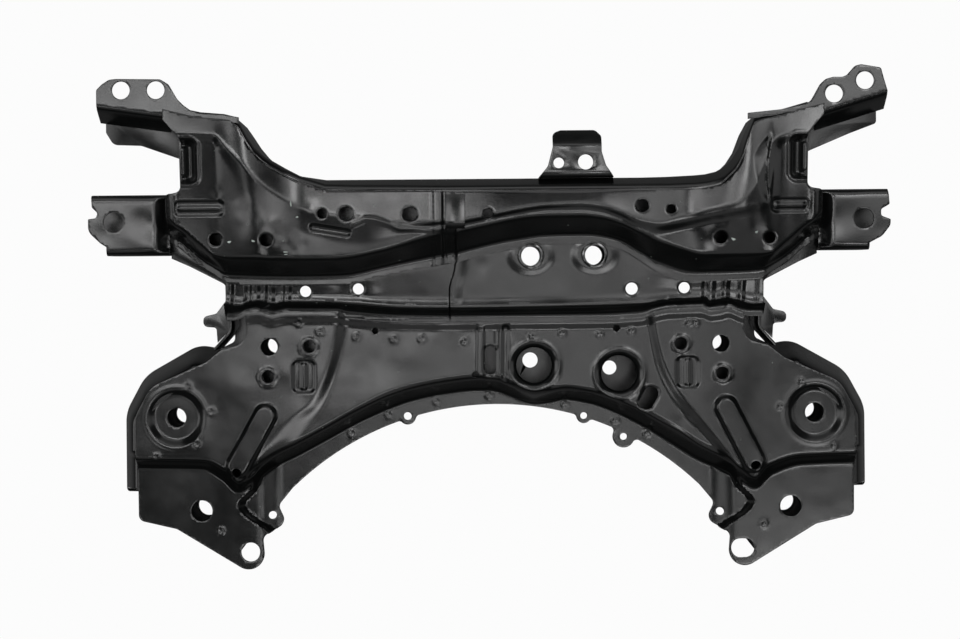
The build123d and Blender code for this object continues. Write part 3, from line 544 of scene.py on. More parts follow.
CONTOUR_LEFT = [(-137, 96), (-126, 101), (-116, 100), (-101, 95), (-92, 91), (-63, 90), (-38, 93)]


def pocket(x, y):
    """Return how far the pocket pressed into the tower's side lies down."""
    (px, py), *box = POCKET
    away = from_box(POCKET[0], *box, abs(x), y)
    lip = POCKET_LIP * ramp(abs(x), px - 10.0, px - 5.0) * (1 - ramp(abs(y - py), 12.0, 18.0))
    return POCKET_DEPTH * (1 - ramp(away, -7.0, 0.5)) - lip - 1.0 * (1 - ramp(abs(away - 1.5), 0.5, 2.5))


def dents(places, x, y):
    """Return what small dents and scuffs add to a panel's height."""
    z = np.zeros(x.shape)
    for dx, dy, reach, depth in places:
        z -= depth * np.exp(-((x - dx) ** 2 + (y - dy) ** 2) / reach**2)
    return z


def sunk_rims(holes, depth, reach, x, y):
    """Return what the sunk rims round punched holes add to a panel's height."""
    z = np.zeros(x.shape)
    for hole in holes:
        z -= depth * (1 - ramp(from_point(hole, x, y) - hole[2], 0, reach))
    return z


def stitch_strip(box, seam, pressed, x, y):
    """Return what a sunk strip adds to a height, with a stitch weld standing along its middle.

    seam is the weld's size, corner radius, spread and height; pressed is the strip's depth and wall.
    """
    size, corner, spread, lift = seam
    depth, wall = pressed
    strip = from_box(*box, 0.0, x, y)
    bead = from_box(box[0], size, corner, 0.0, x, y)
    return lift * (1 - ramp(bead, 0, spread)) - depth * (1 - ramp(strip, -wall, 0.5))


def end_roll(x, y):
    """Return how far a front panel's outer end is rolled down beside the arm bracket."""
    behind = ramp(-y, -ROLL_END - 2, -ROLL_END + 2)
    return (4.0 * ramp(abs(x), 314.5, 322) - 0.9 * (1 - ramp(abs(abs(x) - 312), 1, 4))) * behind


def front_marks(stitch, seam_length, holes, places, x, y):
    """Return what the marks that both front panels have add to their height."""
    z = stitch_strip(stitch, ((seam_length, 1.6), 0.8, 3.0, 1.8), (1.9, 2.5), x, y)
    return z + sunk_rims(holes, *RIM_SUNK, x, y) + dents(places, x, y) - pocket(x, y) - end_roll(x, y)


def front_left_marks(x, y):
    """Return what the left panel's dents and raised lines add to its height."""
    z = front_marks(STITCH_LEFT, 40, FRONT_HOLES_LEFT, DENTS_LEFT, x, y)
    z += -3.2 * (1 - ramp(from_box(*SLOT_LEFT, x, y), -3.5, 0.5))
    z += 1.2 * (1 - ramp(from_path(CONTOUR_LEFT, x, y), 0, 4.0))
    for middle, half, foot, lift in JOINT_RIDGES:
        z += lift * (1 - ramp(abs(x - middle), half, foot))
    return z


def front_right_marks(x, y):
    """Return what the right panel's dents, step and crescent add to its height."""
    z = front_marks(STITCH_RIGHT, 28, FRONT_HOLES_RIGHT, DENTS_RIGHT, x, y)
    step = ramp(along(STEP_MIDDLE, x) - y, -5.5, 5.5) * ramp(x, 138, 175) * (1 - ramp(x, 252, 270))
    z -= STEP_DROP * step * ramp(y, 46, 66)
    low, high = (along(side, y) for side in CRESCENT_SIDES)
    share = np.clip((x - low) / (high - low + 0.5), 0, 1) * (1 - ramp(x - high, 0, 2.5))
    return z - CRESCENT_DEPTH * share * ring(y, 112, 122, 172, 181)


def fine_front(holes, stitch, contour):
    """Return the test for where a front panel needs fine points."""

    def fine(x, y):
        near = from_box(*stitch, 0.0, x, y) < 4
        for hole in holes:
            near |= from_point(hole, x, y) < hole[2] + 4
        near |= from_path(contour, x, y) < 6
        near |= from_box(*SLOT_LEFT, x, y) < 4
        near |= (abs(x) > 280) & (y > 130) & (y < 187)
        near |= (abs(x + 52) < 8) | ((x > -38) & (x < 0) & (y > 92)) | ((abs(x - 260) < 12) & (y > 110))
        return near

    return fine


def curve_of(line):
    """Return a feature line as a function of x."""
    return lambda x: along(line, x)


def offsets(line, shifts):
    """Return a bend's line and its neighbours at shifts across it."""
    return [lambda x, shift=shift: along(line, x) + shift for shift in shifts]


def level(value):
    """Return the straight line at that y, as a function of x."""
    return lambda x: np.full(x.shape, float(value))


def front_panel(name, lines, marks, holes, low, high, trim, fine, extra_holes=()):
    """Return a finished front upper panel."""
    curves = [curve_of(line) for line in lines]
    curves.append(lambda x: along(lines[4], x) - WELD_FLANGE)
    bend_lines = []
    for line in lines[1:]:
        bend_lines += offsets(line, BEND_SHIFTS)
    base = front_height(lines)
    mesh = pressed_sheet(
        name,
        [strip_outline(curves, low, high), rounded(trim)],
        [circle(x, y, radius) for x, y, radius in list(holes) + list(extra_holes)],
        lambda x, y: np.minimum(base(x, y) + marks(x, y), TOWER_TOP),
        bend_lines,
        fine,
    )
    return thickened(linked(name, mesh))


# Middle panels
def middle_height(wall_foot):
    """Return the height of a middle panel."""

    def height(x, y):
        foot = along(wall_foot, x)
        edge = along(MIDDLE_REAR_EDGE, x)
        hem = along(REAR_HEM, x)
        rows = [
            (foot + UNDERLAP, MIDDLE_LEVEL - 0.5),
            (foot - WELD_FLANGE, MIDDLE_LEVEL - 0.01),
            (edge + 8, MIDDLE_LEVEL - 3),
            (edge, MIDDLE_LEVEL - 1),
            (hem + 4, REAR_LEVEL),
            (hem - 3, REAR_LEVEL),
        ]
        return bent(rows, (1.0, 4.0, 2.0, 3.5), x, y)

    return height


WAVE_LOW = 196.0
WAVES = [  # pressed into the outer ends: x, half width and depth
    (-253.0, 6.0, 2.6), (-237.5, 3.5, 1.6), (-222.5, 3.0, 2.4), (-205.5, 2.5, 1.5),
    (207.5, 2.0, 1.2), (220.5, 4.0, 1.8), (235.5, 5.0, 2.4), (252.0, 6.0, 1.6),
]
MIDDLE_SEAM = [(10, -44.1), (15.9, -44.1), (30.7, -44.0), (50.4, -38.9), (66, -36.8), (90, -35)]
SEAM_GAP, LAP_HEIGHT = 1.0, 1.5
BOSS_HEIGHT, BOSS_RUN = 1.0, 8.0
DENTS_MIDDLE = [(-153, 38, 7, 0.5), (-120, 36, 9, -0.6), (70, 38, 60, -1.2), (-20, 56, 14, 0.9)]


def middle_marks(x, y):
    """Return what the end waves, the tubes' bosses and the lapped seam add to a middle panel's height."""
    z = np.zeros(x.shape)
    for middle, half, depth in WAVES:
        z -= depth * (1 - ramp(abs(x - middle - 0.06 * (y - 20)), half - 1.5, half + 2.5)) * ramp(y, 8, 22)
    for tx, ty in ENGINE_SLEEVES:
        away = np.hypot((x - tx) * 0.8, y - ty)
        z += BOSS_HEIGHT * (1 - ramp(away, ENGINE_SLEEVE_RADIUS, ENGINE_SLEEVE_RADIUS + BOSS_RUN))
    z += sunk_rims(MIDDLE_HOLES_LEFT + MIDDLE_HOLES_RIGHT, 0.8, 2.0, x, y)
    past = x - along(MIDDLE_SEAM, y)
    z += LAP_HEIGHT * (1 - ramp(past, 3.0, 14.0)) * (x > JOINT_X - 8.5) * (past > -0.01) * ramp(y, 14, 20)
    return z + dents(DENTS_MIDDLE, x, y)


def middle_fine(x, y):
    """Say where a middle panel needs fine points."""
    near = abs(x) > WAVE_LOW - 4
    for hole in MIDDLE_HOLES_LEFT + MIDDLE_HOLES_RIGHT + [(*p, 22) for p in ENGINE_SLEEVES]:
        near |= from_point(hole, x, y) < hole[2] + 4
    return near | (abs(x - along(MIDDLE_SEAM, y)) < 6)


def middle_panel(name, wall_foot, low, high, holes, seam_side):
    """Return a finished middle panel; the right one laps the left one's edge along the seam."""
    base = middle_height(wall_foot)
    front = lambda x: along(wall_foot, x) + UNDERLAP
    rear = lambda x: along(REAR_HEM, x) - 3
    bend_lines = [lambda x: along(wall_foot, x) - WELD_FLANGE]
    bend_lines += offsets(MIDDLE_REAR_EDGE, (-3, -1.5, 0, 1.5, 3, 8))
    bend_lines += offsets(REAR_HEM, (1, 2.5, 4, 5.5, 7))
    rows = np.arange(-10.0, 101.0, 4.0)
    seam = np.stack([along(MIDDLE_SEAM, rows) - (0 if seam_side > 0 else SEAM_GAP), rows], 1)
    beyond = np.array([[400.0, 100.0], [400.0, -10.0]]) * (seam_side, 1)
    mesh = pressed_sheet(
        name,
        [strip_outline([front, rear], low, high), np.concatenate([seam, beyond])],
        [circle(*hole) for hole in holes],
        lambda x, y: base(x, y) + middle_marks(x, y),
        bend_lines,
        middle_fine,
    )
    return thickened(linked(name, mesh))


# Rear upper panel; the saddle's curved steps are (y, x) along their left and right sides
GROOVE_LEFT = (
    [
        (-153, -248), (-117, -227), (-98, -209), (-83, -190), (-62, -176.5), (-43, -168.7),
        (-19, -162.5), (11, -158),
    ],
    [
        (-153, -246), (-144.5, -236), (-132.5, -221), (-113, -190.5), (-98, -176.7), (-75.4, -164.5),
        (-49.6, -155), (-19.3, -147.2), (11, -143.5),
    ],
)
GROOVE_RIGHT = (
    [
        (-153, 234), (-127, 214), (-105, 192.6), (-88, 178), (-65.4, 165.2), (-41, 156.2),
        (-14, 152), (11, 147),
    ],
    [
        (-153, 244), (-140, 237), (-120.5, 224), (-93, 202.6), (-71.3, 184), (-46.5, 171.2),
        (-19.6, 162.8), (11, 157.5),
    ],
)
SADDLE_DROP = 4.0
RIB_LEFT = [(-228.5, -92.5), (-256, -142)]
RIB_RIGHT = [(228.5, -88), (255.5, -141)]
RIB_RADIUS = 13.5
RIB_HEIGHT = 5.0
RIB_HOLES = [(-257, -149, 4.8), (257.3, -146, 4.8)]
JOGGLE = [(-143, 236), (-166.4, 242.9), (-183, 256), (-189.7, 252.6), (-207.6, 228.4), (-225, 205)]
RIB_SLOPE = (5.5, 0.5)  # how far within its radius a rib's wall starts and ends
PANEL_STRIPS = [(-14.0, 2.4, 1.0), (10.8, 1.8, -1.8), (2.0, 1.0, -0.5)]  # x, half width and height
DENTS_REAR = [
    (-34, -14, 13, 0.7), (-52, -10, 12, -0.6), (22, -20, 12, -0.6), (-194, -72, 10, 0.5),
    (-208, -50, 9, -0.4), (-262, -60, 16, -0.5), (-120, -45, 26, 0.5), (172, -28, 18, 0.5),
    (206, -75, 14, -0.5), (262, -66, 18, 0.5), (80, -36, 16, 0.5), (-80, -30, 18, -0.5),
    (292, -62, 10, 0.4), (-292, -118, 12, -0.4), (186, -98, 8, 0.4),
]
STITCH_REAR = [((-190, -54), (24, 34), 7), ((191, -52.8), (24, 33), 7)]
OVAL_SLOTS = [(-4.8, -39.6, 11, 28, 0.0), (152.2, -78.6, 14, 24, -0.52)]
SMALL_HOLES = [(-118.9, -9.5, 3.2), (120.8, -9.0, 3.2), (-19.9, -53.7, 3.2)]
SPOT_WELDS = [
    (-305, -63.1), (-282.1, -87.9), (-296.4, -120), (-337, -132.5), (-194.4, -0.2), (-173.2, -9.5),
    (-137.6, -14.8), (-100, -17.6), (-72.7, -17.2), (-30.6, -20.4), (36, -16.3), (66.5, -12.8),
    (104.1, -14.2), (135.3, -11.6), (192.1, -3.5), (198.1, -3.5), (303.2, -62.9), (282.1, -87.4),
    (334.4, -127.3), (-275.1, -208.4), (267, -205.5), (-144.7, -112.9), (-107.1, -94.8), (-58.9, -81.4),
    (-5.8, -75.7), (70, -84.8), (120.4, -101.9), (152.2, -115.5),
]
SPOT_RADIUS = 3.2


def saddle(x, y):
    """Return how far each point is down on the saddle between the two curved steps, from 0 to 1."""
    left = ramp(x, along(GROOVE_LEFT[0], y), along(GROOVE_LEFT[1], y))
    right = ramp(-x, -along(GROOVE_RIGHT[1], y), -along(GROOVE_RIGHT[0], y))
    return left * right * ramp(-y, -20, -19) * (1 - ramp(-y, 153, 160))


def flange_height(x, y):
    """Return the level of the rear panel's outer flange: the pad stands above the curved edge's."""
    past = abs(x) - along(JOGGLE[::-1], y)
    low = ramp(abs(x), 214, 240)
    return ARC_LEVEL + (PAD_LEVEL - ARC_LEVEL) * (0.35 * low + 0.65 * ramp(past, -5.0, 3.0))


def rear_base(x, y):
    """Return the rear panel's bent shape without its pressed detail."""
    hem = along(REAR_HEM, x)
    flange = flange_height(x, y)
    rows = [
        (hem, REAR_LEVEL + SHEET),
        (hem - 6, REAR_LEVEL + SHEET),
        (hem - 11, REAR_LEVEL),
        (along(ARC_WALL_TOP, x), REAR_LEVEL),
        (along(ARC_WALL_FOOT, x), flange),
        (REAR_BACK, flange + 0.01),
    ]
    return bent(rows, (2.5, 2.5, 3.5, 3.5), x, y)


def seats(x, y):
    """Return what the access holes' and the arm bushes' sunk seats add to the rear panel's height."""
    z = np.zeros(x.shape)
    for hole in ACCESS_HOLES:
        away = from_point(hole, x, y)
        z -= ACCESS_DEPTH * (1 - ramp(away, ACCESS_RADIUS - 3, ACCESS_RIM)) ** 1.5
        z += 0.7 * ring(away, ACCESS_RIM - 1, ACCESS_RIM + 0.5, ACCESS_RIM + 1, ACCESS_RIM + 4)
    seat, rim, depth = BUSH_DISH
    for bush in both_sides([BUSH]):
        away = from_point(bush, x, y)
        z -= depth * (1 - ramp(away, seat, rim)) - 0.4 * ring(away, rim - 1, rim, rim + 2, rim + 5)
    return z


def small_marks(x, y):
    """Return what stitch welds, nut rings, slots' rims and spot welds add to the rear panel's height."""
    z = np.zeros(x.shape)
    for box in STITCH_REAR:
        z += stitch_strip(box, ((2.2, 24), 1.0, 3.2, 2.2), (2.4, 3), x, y)
    for nut in both_sides(RACK_NUTS):
        z += 0.9 * ring(from_point(nut, x, y), 5, 6.5, 8.5, 10.5)
    for hx, hy, width, length, turn in OVAL_SLOTS:
        rim = from_box((hx, hy), (width, length), width / 2 - 0.1, turn, x, y)
        z -= 1.2 * (1 - ramp(rim, 0, 3))
    for spot in SPOT_WELDS:
        away = from_point(spot, x, y)
        z += 0.55 * np.exp(-(((away - SPOT_RADIUS) / 0.9) ** 2)) - 0.5 * np.exp(-((away / 1.8) ** 2))
    return z


def rear_height(x, y):
    """Return the height of the rear upper panel with its pressed detail."""
    top = -SADDLE_DROP * saddle(x, y) + dents(DENTS_REAR, x, y)
    for rib in (RIB_LEFT, RIB_RIGHT):
        wall = ramp(from_path(rib, x, y), RIB_RADIUS - RIB_SLOPE[0], RIB_RADIUS - RIB_SLOPE[1])
        top += RIB_HEIGHT * (1 - wall)
    for middle, half, lift in PANEL_STRIPS:
        top += lift * (1 - ramp(abs(x - middle - 0.02 * y), half, half + 2.2)) * ramp(-y, 2, 8)
    above = ramp(along(ARC_WALL_TOP, x) - y, 4, -2)
    return rear_base(x, y) + top * above + seats(x, y) + small_marks(x, y)


def rear_fine(x, y):
    """Say where the rear panel needs fine points."""
    near = np.zeros(x.shape, bool)
    for low, high in (GROOVE_LEFT, GROOVE_RIGHT):
        near |= (x > along(low, y) - 4) & (x < along(high, y) + 4) & (y > -158)
    for rib in (RIB_LEFT, RIB_RIGHT):
        near |= from_path(rib, x, y) < RIB_RADIUS + 4
    for box in STITCH_REAR:
        near |= from_box(*box, 0.0, x, y) < 4
    for hole in ACCESS_HOLES:
        near |= from_point(hole, x, y) < ACCESS_RIM + 3
    for bush in both_sides([BUSH]):
        near |= abs(from_point(bush, x, y) - 26) < 9
    for nut in both_sides(RACK_NUTS):
        near |= from_point(nut, x, y) < 11
    for spot in SPOT_WELDS:
        near |= from_point(spot, x, y) < 5
    for hx, hy, width, length, turn in OVAL_SLOTS:
        near |= from_box((hx, hy), (width, length), width / 2 - 0.1, turn, x, y) < 5
    near |= (abs(along(ARC_WALL_TOP, x) - 6 - y) < 14) & (abs(x) < 290)
    near |= (abs(abs(x) - along(JOGGLE[::-1], y)) < 7) & (y < -150)
    near |= (abs(x) < 20) & (y > -60)
    return near


def arc_outline():
    """Return the rear panel's plan outline: corner, arc, other corner."""
    cx, cy = ARC_EDGE
    radius = (cx**2 + (ARC_CROWN - cy) ** 2) / (2 * (ARC_CROWN - cy))
    centre = ARC_CROWN - radius
    angles = np.linspace(math.atan2(cy - centre, -cx), math.atan2(cy - centre, cx), 160)
    arc = np.stack([radius * np.cos(angles), centre + radius * np.sin(angles)], 1)
    corners = [*REAR_CORNER, (-cx, cy, 0)]
    left = rounded(corners, limit=0.7)
    start = next(i for i, p in enumerate(left) if abs(p[0] + cx) + abs(p[1] - cy) < 1e-6)
    left = left[: start + 1]
    right = left[::-1] * (-1, 1)
    return np.concatenate([left, arc[1:-1], right])


def flat_outline_with_tabs():
    """Return the rear panel's outline with the round tabs of its curved edge."""
    outline = arc_outline()
    for tx, ty, radius, _ in ARC_TABS:
        out = from_point((tx, ty), outline[:, 0], outline[:, 1]) >= radius
        cut = np.flatnonzero(~out)
        first, last = outline[cut[0] - 1], outline[cut[-1] + 1]
        start = math.atan2(first[1] - ty, first[0] - tx)
        end = math.atan2(last[1] - ty, last[0] - tx)
        sweep = (end - start) % (2 * math.pi)
        angles = start + np.linspace(0, 1, 24)[1:-1] * sweep
        tab = np.stack([tx + radius * np.cos(angles), ty + radius * np.sin(angles)], 1)
        outline = np.concatenate([outline[: cut[0]], tab, outline[cut[-1] + 1 :]])
    return outline


def rear_panel():
    """Return the finished rear upper panel."""
    holes = both_sides([MOUNT, BUSH, LOBE, RACK]) + [(-EAR[0], EAR[1], EAR[2])]
    holes += [(x, y, RACK_NUT_BORE) for x, y in both_sides(RACK_NUTS)]
    holes += [(x, y, bore) for x, y, _, bore in ARC_TABS] + RIB_HOLES + SMALL_HOLES
    holes += [(x, y, ACCESS_RADIUS) for x, y in ACCESS_HOLES]
    bend_lines = offsets(REAR_HEM, (-0.5, -2, -4, -5, -6, -7, -9, -10, -11, -12, -13.5))
    bend_lines += offsets(ARC_WALL_TOP, BEND_SHIFTS) + offsets(ARC_WALL_FOOT, BEND_SHIFTS)
    mesh = pressed_sheet(
        "rear_upper",
        [strip_outline([curve_of(REAR_HEM), level(REAR_BACK)], -370, 370), flat_outline_with_tabs()],
        [circle(*hole) for hole in holes]
        + [oval(*slot) for slot in OVAL_SLOTS + [(EAR[0], EAR[1], 2 * EAR[2], EAR_SLOT_LENGTH, math.pi / 2)]],
        rear_height,
        bend_lines,
        rear_fine,
    )
    return thickened(linked("rear_upper", mesh))


# Arm brackets: a plate and two walls, with their corners rolled over, folded from a flat outline.
# The bolt is x, level and radius; the ends are each wall's reach from the middle, front and rear.
ARM_FRONT, ARM_REAR, ARM_LEVEL, ARM_ROLL = 127.0, 67.0, 92.0, 7.0
ARM_SHEET, ARM_INNER = 3.0, 321.0
ARM_FOLDS = (0, 2, 4, 6, 8, 10, 11)  # where a roll needs points, from its start
ARM_FOOT = 30.0
ARM_DIP, ARM_DIP_RUN = 11.0, (335, 322)  # the plate dips towards its inner end
ARM_FLOORS = {
    "left": [(398, 127, 6), (398, 90, 4), (380, 74, 4), (380, 67, 0)],
    "right": [(386, 127, 6), (386, 92, 4), (368, 72, 4), (368, 67, 0)],
}
ARM_BOLT = (357.0, 60.0, 6.6)
ARM_WALL_ENDS = {"left": (396.5, 382.8), "right": (388.5, 370.5)}
ARM_HOLES = {"left": (-375.6, 100.2, 9.9), "right": (365.0, 98.0, 9.9)}
ARM_ENDS = {
    "left": [
        (-397.5, 127, 1), (-396.8, 115, 3), (-391, 109.5, 3), (-393, 104.5, 2), (-400.6, 103.5, 1),
        (-400.6, 91, 12), (-388.5, 79.5, 20), (-382.8, 76, 0.8),
    ],
    "right": [
        (389.3, 127, 1), (390.5, 111.8, 1.5), (382, 107, 3), (382, 100.5, 3), (391.4, 97, 1), (391.2, 91, 8),
        (383, 80.5, 14), (370.5, 74, 0.8),
    ],
}
ARM_SCUFFS = [
    (340, 98, 14, 0.8), (352, 84, 12, -0.5), (335, 76, 10, -0.9), (346, 118, 14, -0.5), (384, 88, 9, 0.4),
]


def arm_fold(x, t):
    """Fold a flat bracket: t runs across the car's length, and past each roll down the wall."""
    arc = ARM_ROLL * math.pi / 2
    front, rear = ARM_FRONT - ARM_ROLL, ARM_REAR + ARM_ROLL
    over = np.maximum(np.maximum(t - front, rear - t), 0)
    angle = np.minimum(over, arc) / ARM_ROLL
    out = ARM_ROLL * np.sin(angle)
    y = np.clip(t, rear, front) + np.where(t > front, out, -out)
    z = ARM_LEVEL - ARM_ROLL * (1 - np.cos(angle)) - np.maximum(over - arc, 0)
    sag = dents(ARM_SCUFFS, abs(x), t) - ARM_DIP * ramp(-abs(x), -ARM_DIP_RUN[0], -ARM_DIP_RUN[1])
    return x, y, z + sag * (1 - ramp(over, 0, 4))


def arm_bracket(hand):
    """Return a finished arm bracket."""
    side = -1 if hand == "left" else 1
    ends = ARM_WALL_ENDS[hand]
    wall = ARM_LEVEL - ARM_ROLL - ARM_FOOT + ARM_ROLL * math.pi / 2
    front, rear = ARM_FRONT - ARM_ROLL + wall, ARM_REAR + ARM_ROLL - wall
    corners = [(side * ARM_INNER, front, 0), (side * ends[0], front, 12), *ARM_ENDS[hand]]
    corners += [(side * ends[1], rear, 12), (side * ARM_INNER, rear, 0)]
    bolt_x, bolt_level, bolt_bore = ARM_BOLT
    bolts = [(side * bolt_x, front - bolt_level + ARM_FOOT, bolt_bore)]
    bolts += [(side * bolt_x, rear + bolt_level - ARM_FOOT, bolt_bore)]
    folds = [level(ARM_FRONT - ARM_ROLL + shift) for shift in ARM_FOLDS]
    folds += [level(ARM_REAR + ARM_ROLL - shift) for shift in ARM_FOLDS]
    mesh = pressed_sheet(
        f"arm_{hand}",
        [rounded(corners)],
        [circle(*hole) for hole in [ARM_HOLES[hand], *bolts]],
        arm_fold,
        folds,
    )
    return thickened(linked(f"arm_{hand}", mesh), ARM_SHEET)


def arm_floor(hand):
    """Return the closing plate under an arm bracket, which makes its top hole look black."""
    side = -1 if hand == "left" else 1
    corners = [(side * ARM_INNER, ARM_REAR, 0), (side * ARM_INNER, ARM_FRONT, 0)]
    corners += [(side * x, y, radius) for x, y, radius in ARM_FLOORS[hand]]
    mesh = pressed_sheet(
        f"arm_floor_{hand}", [rounded(corners)], [], lambda x, y: np.full(x.shape, ARM_FOOT),
        [level((ARM_FRONT + ARM_REAR) / 2)], step=6.0,
    )
    return thickened(linked(f"arm_floor_{hand}", mesh), share=0.8)


# Horns: a two-hole plate with its rear edge bent down along a slanting line
HORN_LEVEL, HORN_LIP_LEVEL, HORN_LIP_RUN, HORN_BORE = 129.5, 103.8, 13.0, 8.6
HORN_BENDS = {"left": ((-385.3, 210), (-314, 200)), "right": ((383, 218), (311, 196))}
HORN_HOLES = {"left": [(-361.3, 227.5), (-327.5, 227.5)], "right": [(331.0, 218.5), (361.1, 231.2)]}
HORN_OUTLINES = {
    "left": [
        (-385.3, 197.1, 0), (-385.3, 228, 3), (-380.4, 233, 5), (-373, 238, 9), (-366, 238.7, 6),
        (-323, 238, 5), (-315, 233, 6), (-306.8, 218.7, 12), (-301, 212.8, 9), (-294.3, 207.9, 9),
        (-284.6, 204.5, 12), (-260.3, 202.8, 9), (-247, 200.5, 0), (-247, 194.5, 0), (-316, 204, 2),
        (-316, 187.3, 0),
    ],
    "right": [
        (314.8, 183.7, 0), (316, 204, 2), (247, 194.5, 0), (247, 200.5, 0), (282, 204, 9), (302.6, 208.6, 7),
        (308.2, 211.7, 7), (317.4, 227.8, 9), (323, 232.9, 7), (330.3, 234.8, 6), (339.1, 234.7, 5),
        (343.4, 236.4, 5), (351.5, 245.5, 7), (357.3, 246.8, 5), (364.4, 245.6, 6), (376.7, 243.5, 3),
        (379.5, 232.8, 4), (383.0, 221, 4), (383.4, 204.7, 0),
    ],
}


def horn_upper(hand):
    """Return a finished horn plate."""
    (ax, ay), (bx, by) = HORN_BENDS[hand]
    rise = (by - ay) / (bx - ax)
    length = math.hypot(1, rise)
    rows = [(80, HORN_LEVEL), (0, HORN_LEVEL), (-HORN_LIP_RUN, HORN_LIP_LEVEL)]
    mesh = pressed_sheet(
        f"horn_upper_{hand}",
        [rounded(HORN_OUTLINES[hand])],
        [circle(x, y, HORN_BORE) for x, y in HORN_HOLES[hand]],
        lambda x, y: bent(rows, (4.0,), x, (y - ay - (x - ax) * rise) / length),
        [lambda x, shift=shift: ay + (x - ax) * rise + shift for shift in (-6, -4, -2.5, -1, 0.5, 2, 4)],
    )
    return thickened(linked(f"horn_upper_{hand}", mesh))


# Rear side walls: rolled down from beside the rear panel's edge to the floor
RIM_OUTER = [(-281, -28, 0), (-303, -24, 28), (-358, -55, 40), (-378, -92, 40), (-378, -166, 0)]
RIM_INNER = [(-352, -166, 0), (-352, -97, 20), (-300, -52, 30), (-284, -41, 0)]
RIM_WIDTH, RIM_FOOT, PAD_EDGE_Y = 19.5, 2.9, -131.0  # the ledge steps down to the pad at that y


def rim_wall(hand):
    """Return a finished rear side wall."""
    corners = RIM_OUTER + RIM_INNER
    outline = rounded(corners)
    last = next(i for i, p in enumerate(outline) if abs(p - (-378, -166)).max() < 1e-6)
    path = outline[: last + 1]

    def height(x, y):
        ledge = REAR_LEVEL - SHEET - (REAR_LEVEL - PAD_LEVEL) * ramp(-y, -PAD_EDGE_Y - 4, -PAD_EDGE_Y + 4)
        past = np.clip(RIM_WIDTH - from_path(path, -abs(x), y), 0, RIM_WIDTH)
        return RIM_FOOT + (ledge - RIM_FOOT) * np.cos(math.pi / 2 * past / RIM_WIDTH)

    if hand == "right":
        outline = outline[::-1] * (-1, 1)
    mesh = pressed_sheet(
        f"rim_{hand}", [outline], [], height, [level(PAD_EDGE_Y)],
        lambda x, y: from_path(path, -abs(x), y) < RIM_WIDTH + 2, fine_step=1.4,
    )
    return thickened(linked(f"rim_{hand}", mesh), share=0.8)


# Weld beads: names, widths and paths on the panels
BEADS = [
    ("front_bead", 4.2, [(-176, 131.5), (-168, 129), (-160, 127.5), (-92, 126.6), (-60, 126)]),
    (
        "tower_bead_left", 2.4,
        [(-311, 202), (-286, 197.5), (-257, 194.5), (-243, 177), (-226, 156.5), (-189, 135.5)],
    ),
    ("tower_bead_right", 2.4, [(308, 203), (286, 197), (258, 190), (248, 170), (236, 147), (222, 133)]),
]
BEAD_SINK = 0.35  # how deep a bead's middle lies in the panel, and how far apart its ripples are,
BEAD_PITCH = 0.32  # as shares of its width
BEAD_SEED = 7


def weld_tree():
    """Return the node tree that lays a rippled weld bead along a path."""
    tree = bpy.data.node_groups.new("weld_bead", "GeometryNodeTree")
    tree.is_modifier = True
    for name, kind, value in (
        ("Geometry", "NodeSocketGeometry", None),
        ("Ripple Pitch", "NodeSocketFloat", 0.0013),
        ("Bead Width", "NodeSocketFloat", 0.004),
        ("Seed", "NodeSocketInt", BEAD_SEED),
        ("Coat", "NodeSocketMaterial", None),
    ):
        socket = tree.interface.new_socket(name, in_out="INPUT", socket_type=kind)
        if value is not None:
            socket.default_value = value
    tree.interface.new_socket("Geometry", in_out="OUTPUT", socket_type="NodeSocketGeometry")
    given = add(tree, "NodeGroupInput").outputs
    curve = add(tree, "GeometryNodeMeshToCurve", {"Mesh": given["Geometry"]})
    points = add(
        tree, "GeometryNodeCurveToPoints",
        {"Curve": curve.outputs[0], "Length": given["Ripple Pitch"]}, mode="LENGTH",
    )
    drop = add(tree, "GeometryNodeMeshIcoSphere", {"Radius": 0.5, "Subdivisions": 2})
    uneven = add(
        tree, "FunctionNodeRandomValue",
        {0: (0.75, 0.75, 0.35), 1: (1.15, 1.1, 0.6), "Seed": given["Seed"]}, data_type="FLOAT_VECTOR",
    )
    size = add(
        tree, "ShaderNodeVectorMath",
        {0: uneven.outputs[0], "Scale": given["Bead Width"]}, operation="SCALE",
    )
    drops = add(
        tree, "GeometryNodeInstanceOnPoints",
        {"Points": points.outputs["Points"], "Instance": drop.outputs["Mesh"], "Scale": size.outputs[0]},
    )
    real = add(tree, "GeometryNodeRealizeInstances", {0: drops.outputs[0]})
    smooth = add(tree, "GeometryNodeSetShadeSmooth", {0: real.outputs[0]})
    coated = add(tree, "GeometryNodeSetMaterial", {0: smooth.outputs[0], "Material": given["Coat"]})
    add(tree, "NodeGroupOutput", {0: coated.outputs[0]})
    return tree


def weld_bead(name, width, path, shape, coat):
    """Return a weld bead laid along a path on a panel."""
    tree = bpy.data.node_groups.get("weld_bead") or weld_tree()
    x, y = np.array(path, float).T
    places = np.column_stack([x, y, shape(x, y) - BEAD_SINK * width])
    mesh = bpy.data.meshes.new(name)
    mesh.from_pydata((places * MM).tolist(), [(i, i + 1) for i in range(len(path) - 1)], [])
    bead = linked(name, mesh)
    nodes = bead.modifiers.new("bead", "NODES")
    nodes.node_group = tree
    sockets = {item.name: item.identifier for item in tree.interface.items_tree if item.in_out == "INPUT"}
    nodes[sockets["Ripple Pitch"]] = BEAD_PITCH * width * MM
    nodes[sockets["Bead Width"]] = width * MM
    nodes[sockets["Seed"]] = BEAD_SEED
    nodes[sockets["Coat"]] = coat
    bpy.context.view_layer.update()
    made = bpy.data.meshes.new_from_object(bead.evaluated_get(bpy.context.evaluated_depsgraph_get()))
    bead.modifiers.clear()
    bead.data = made
    return bead


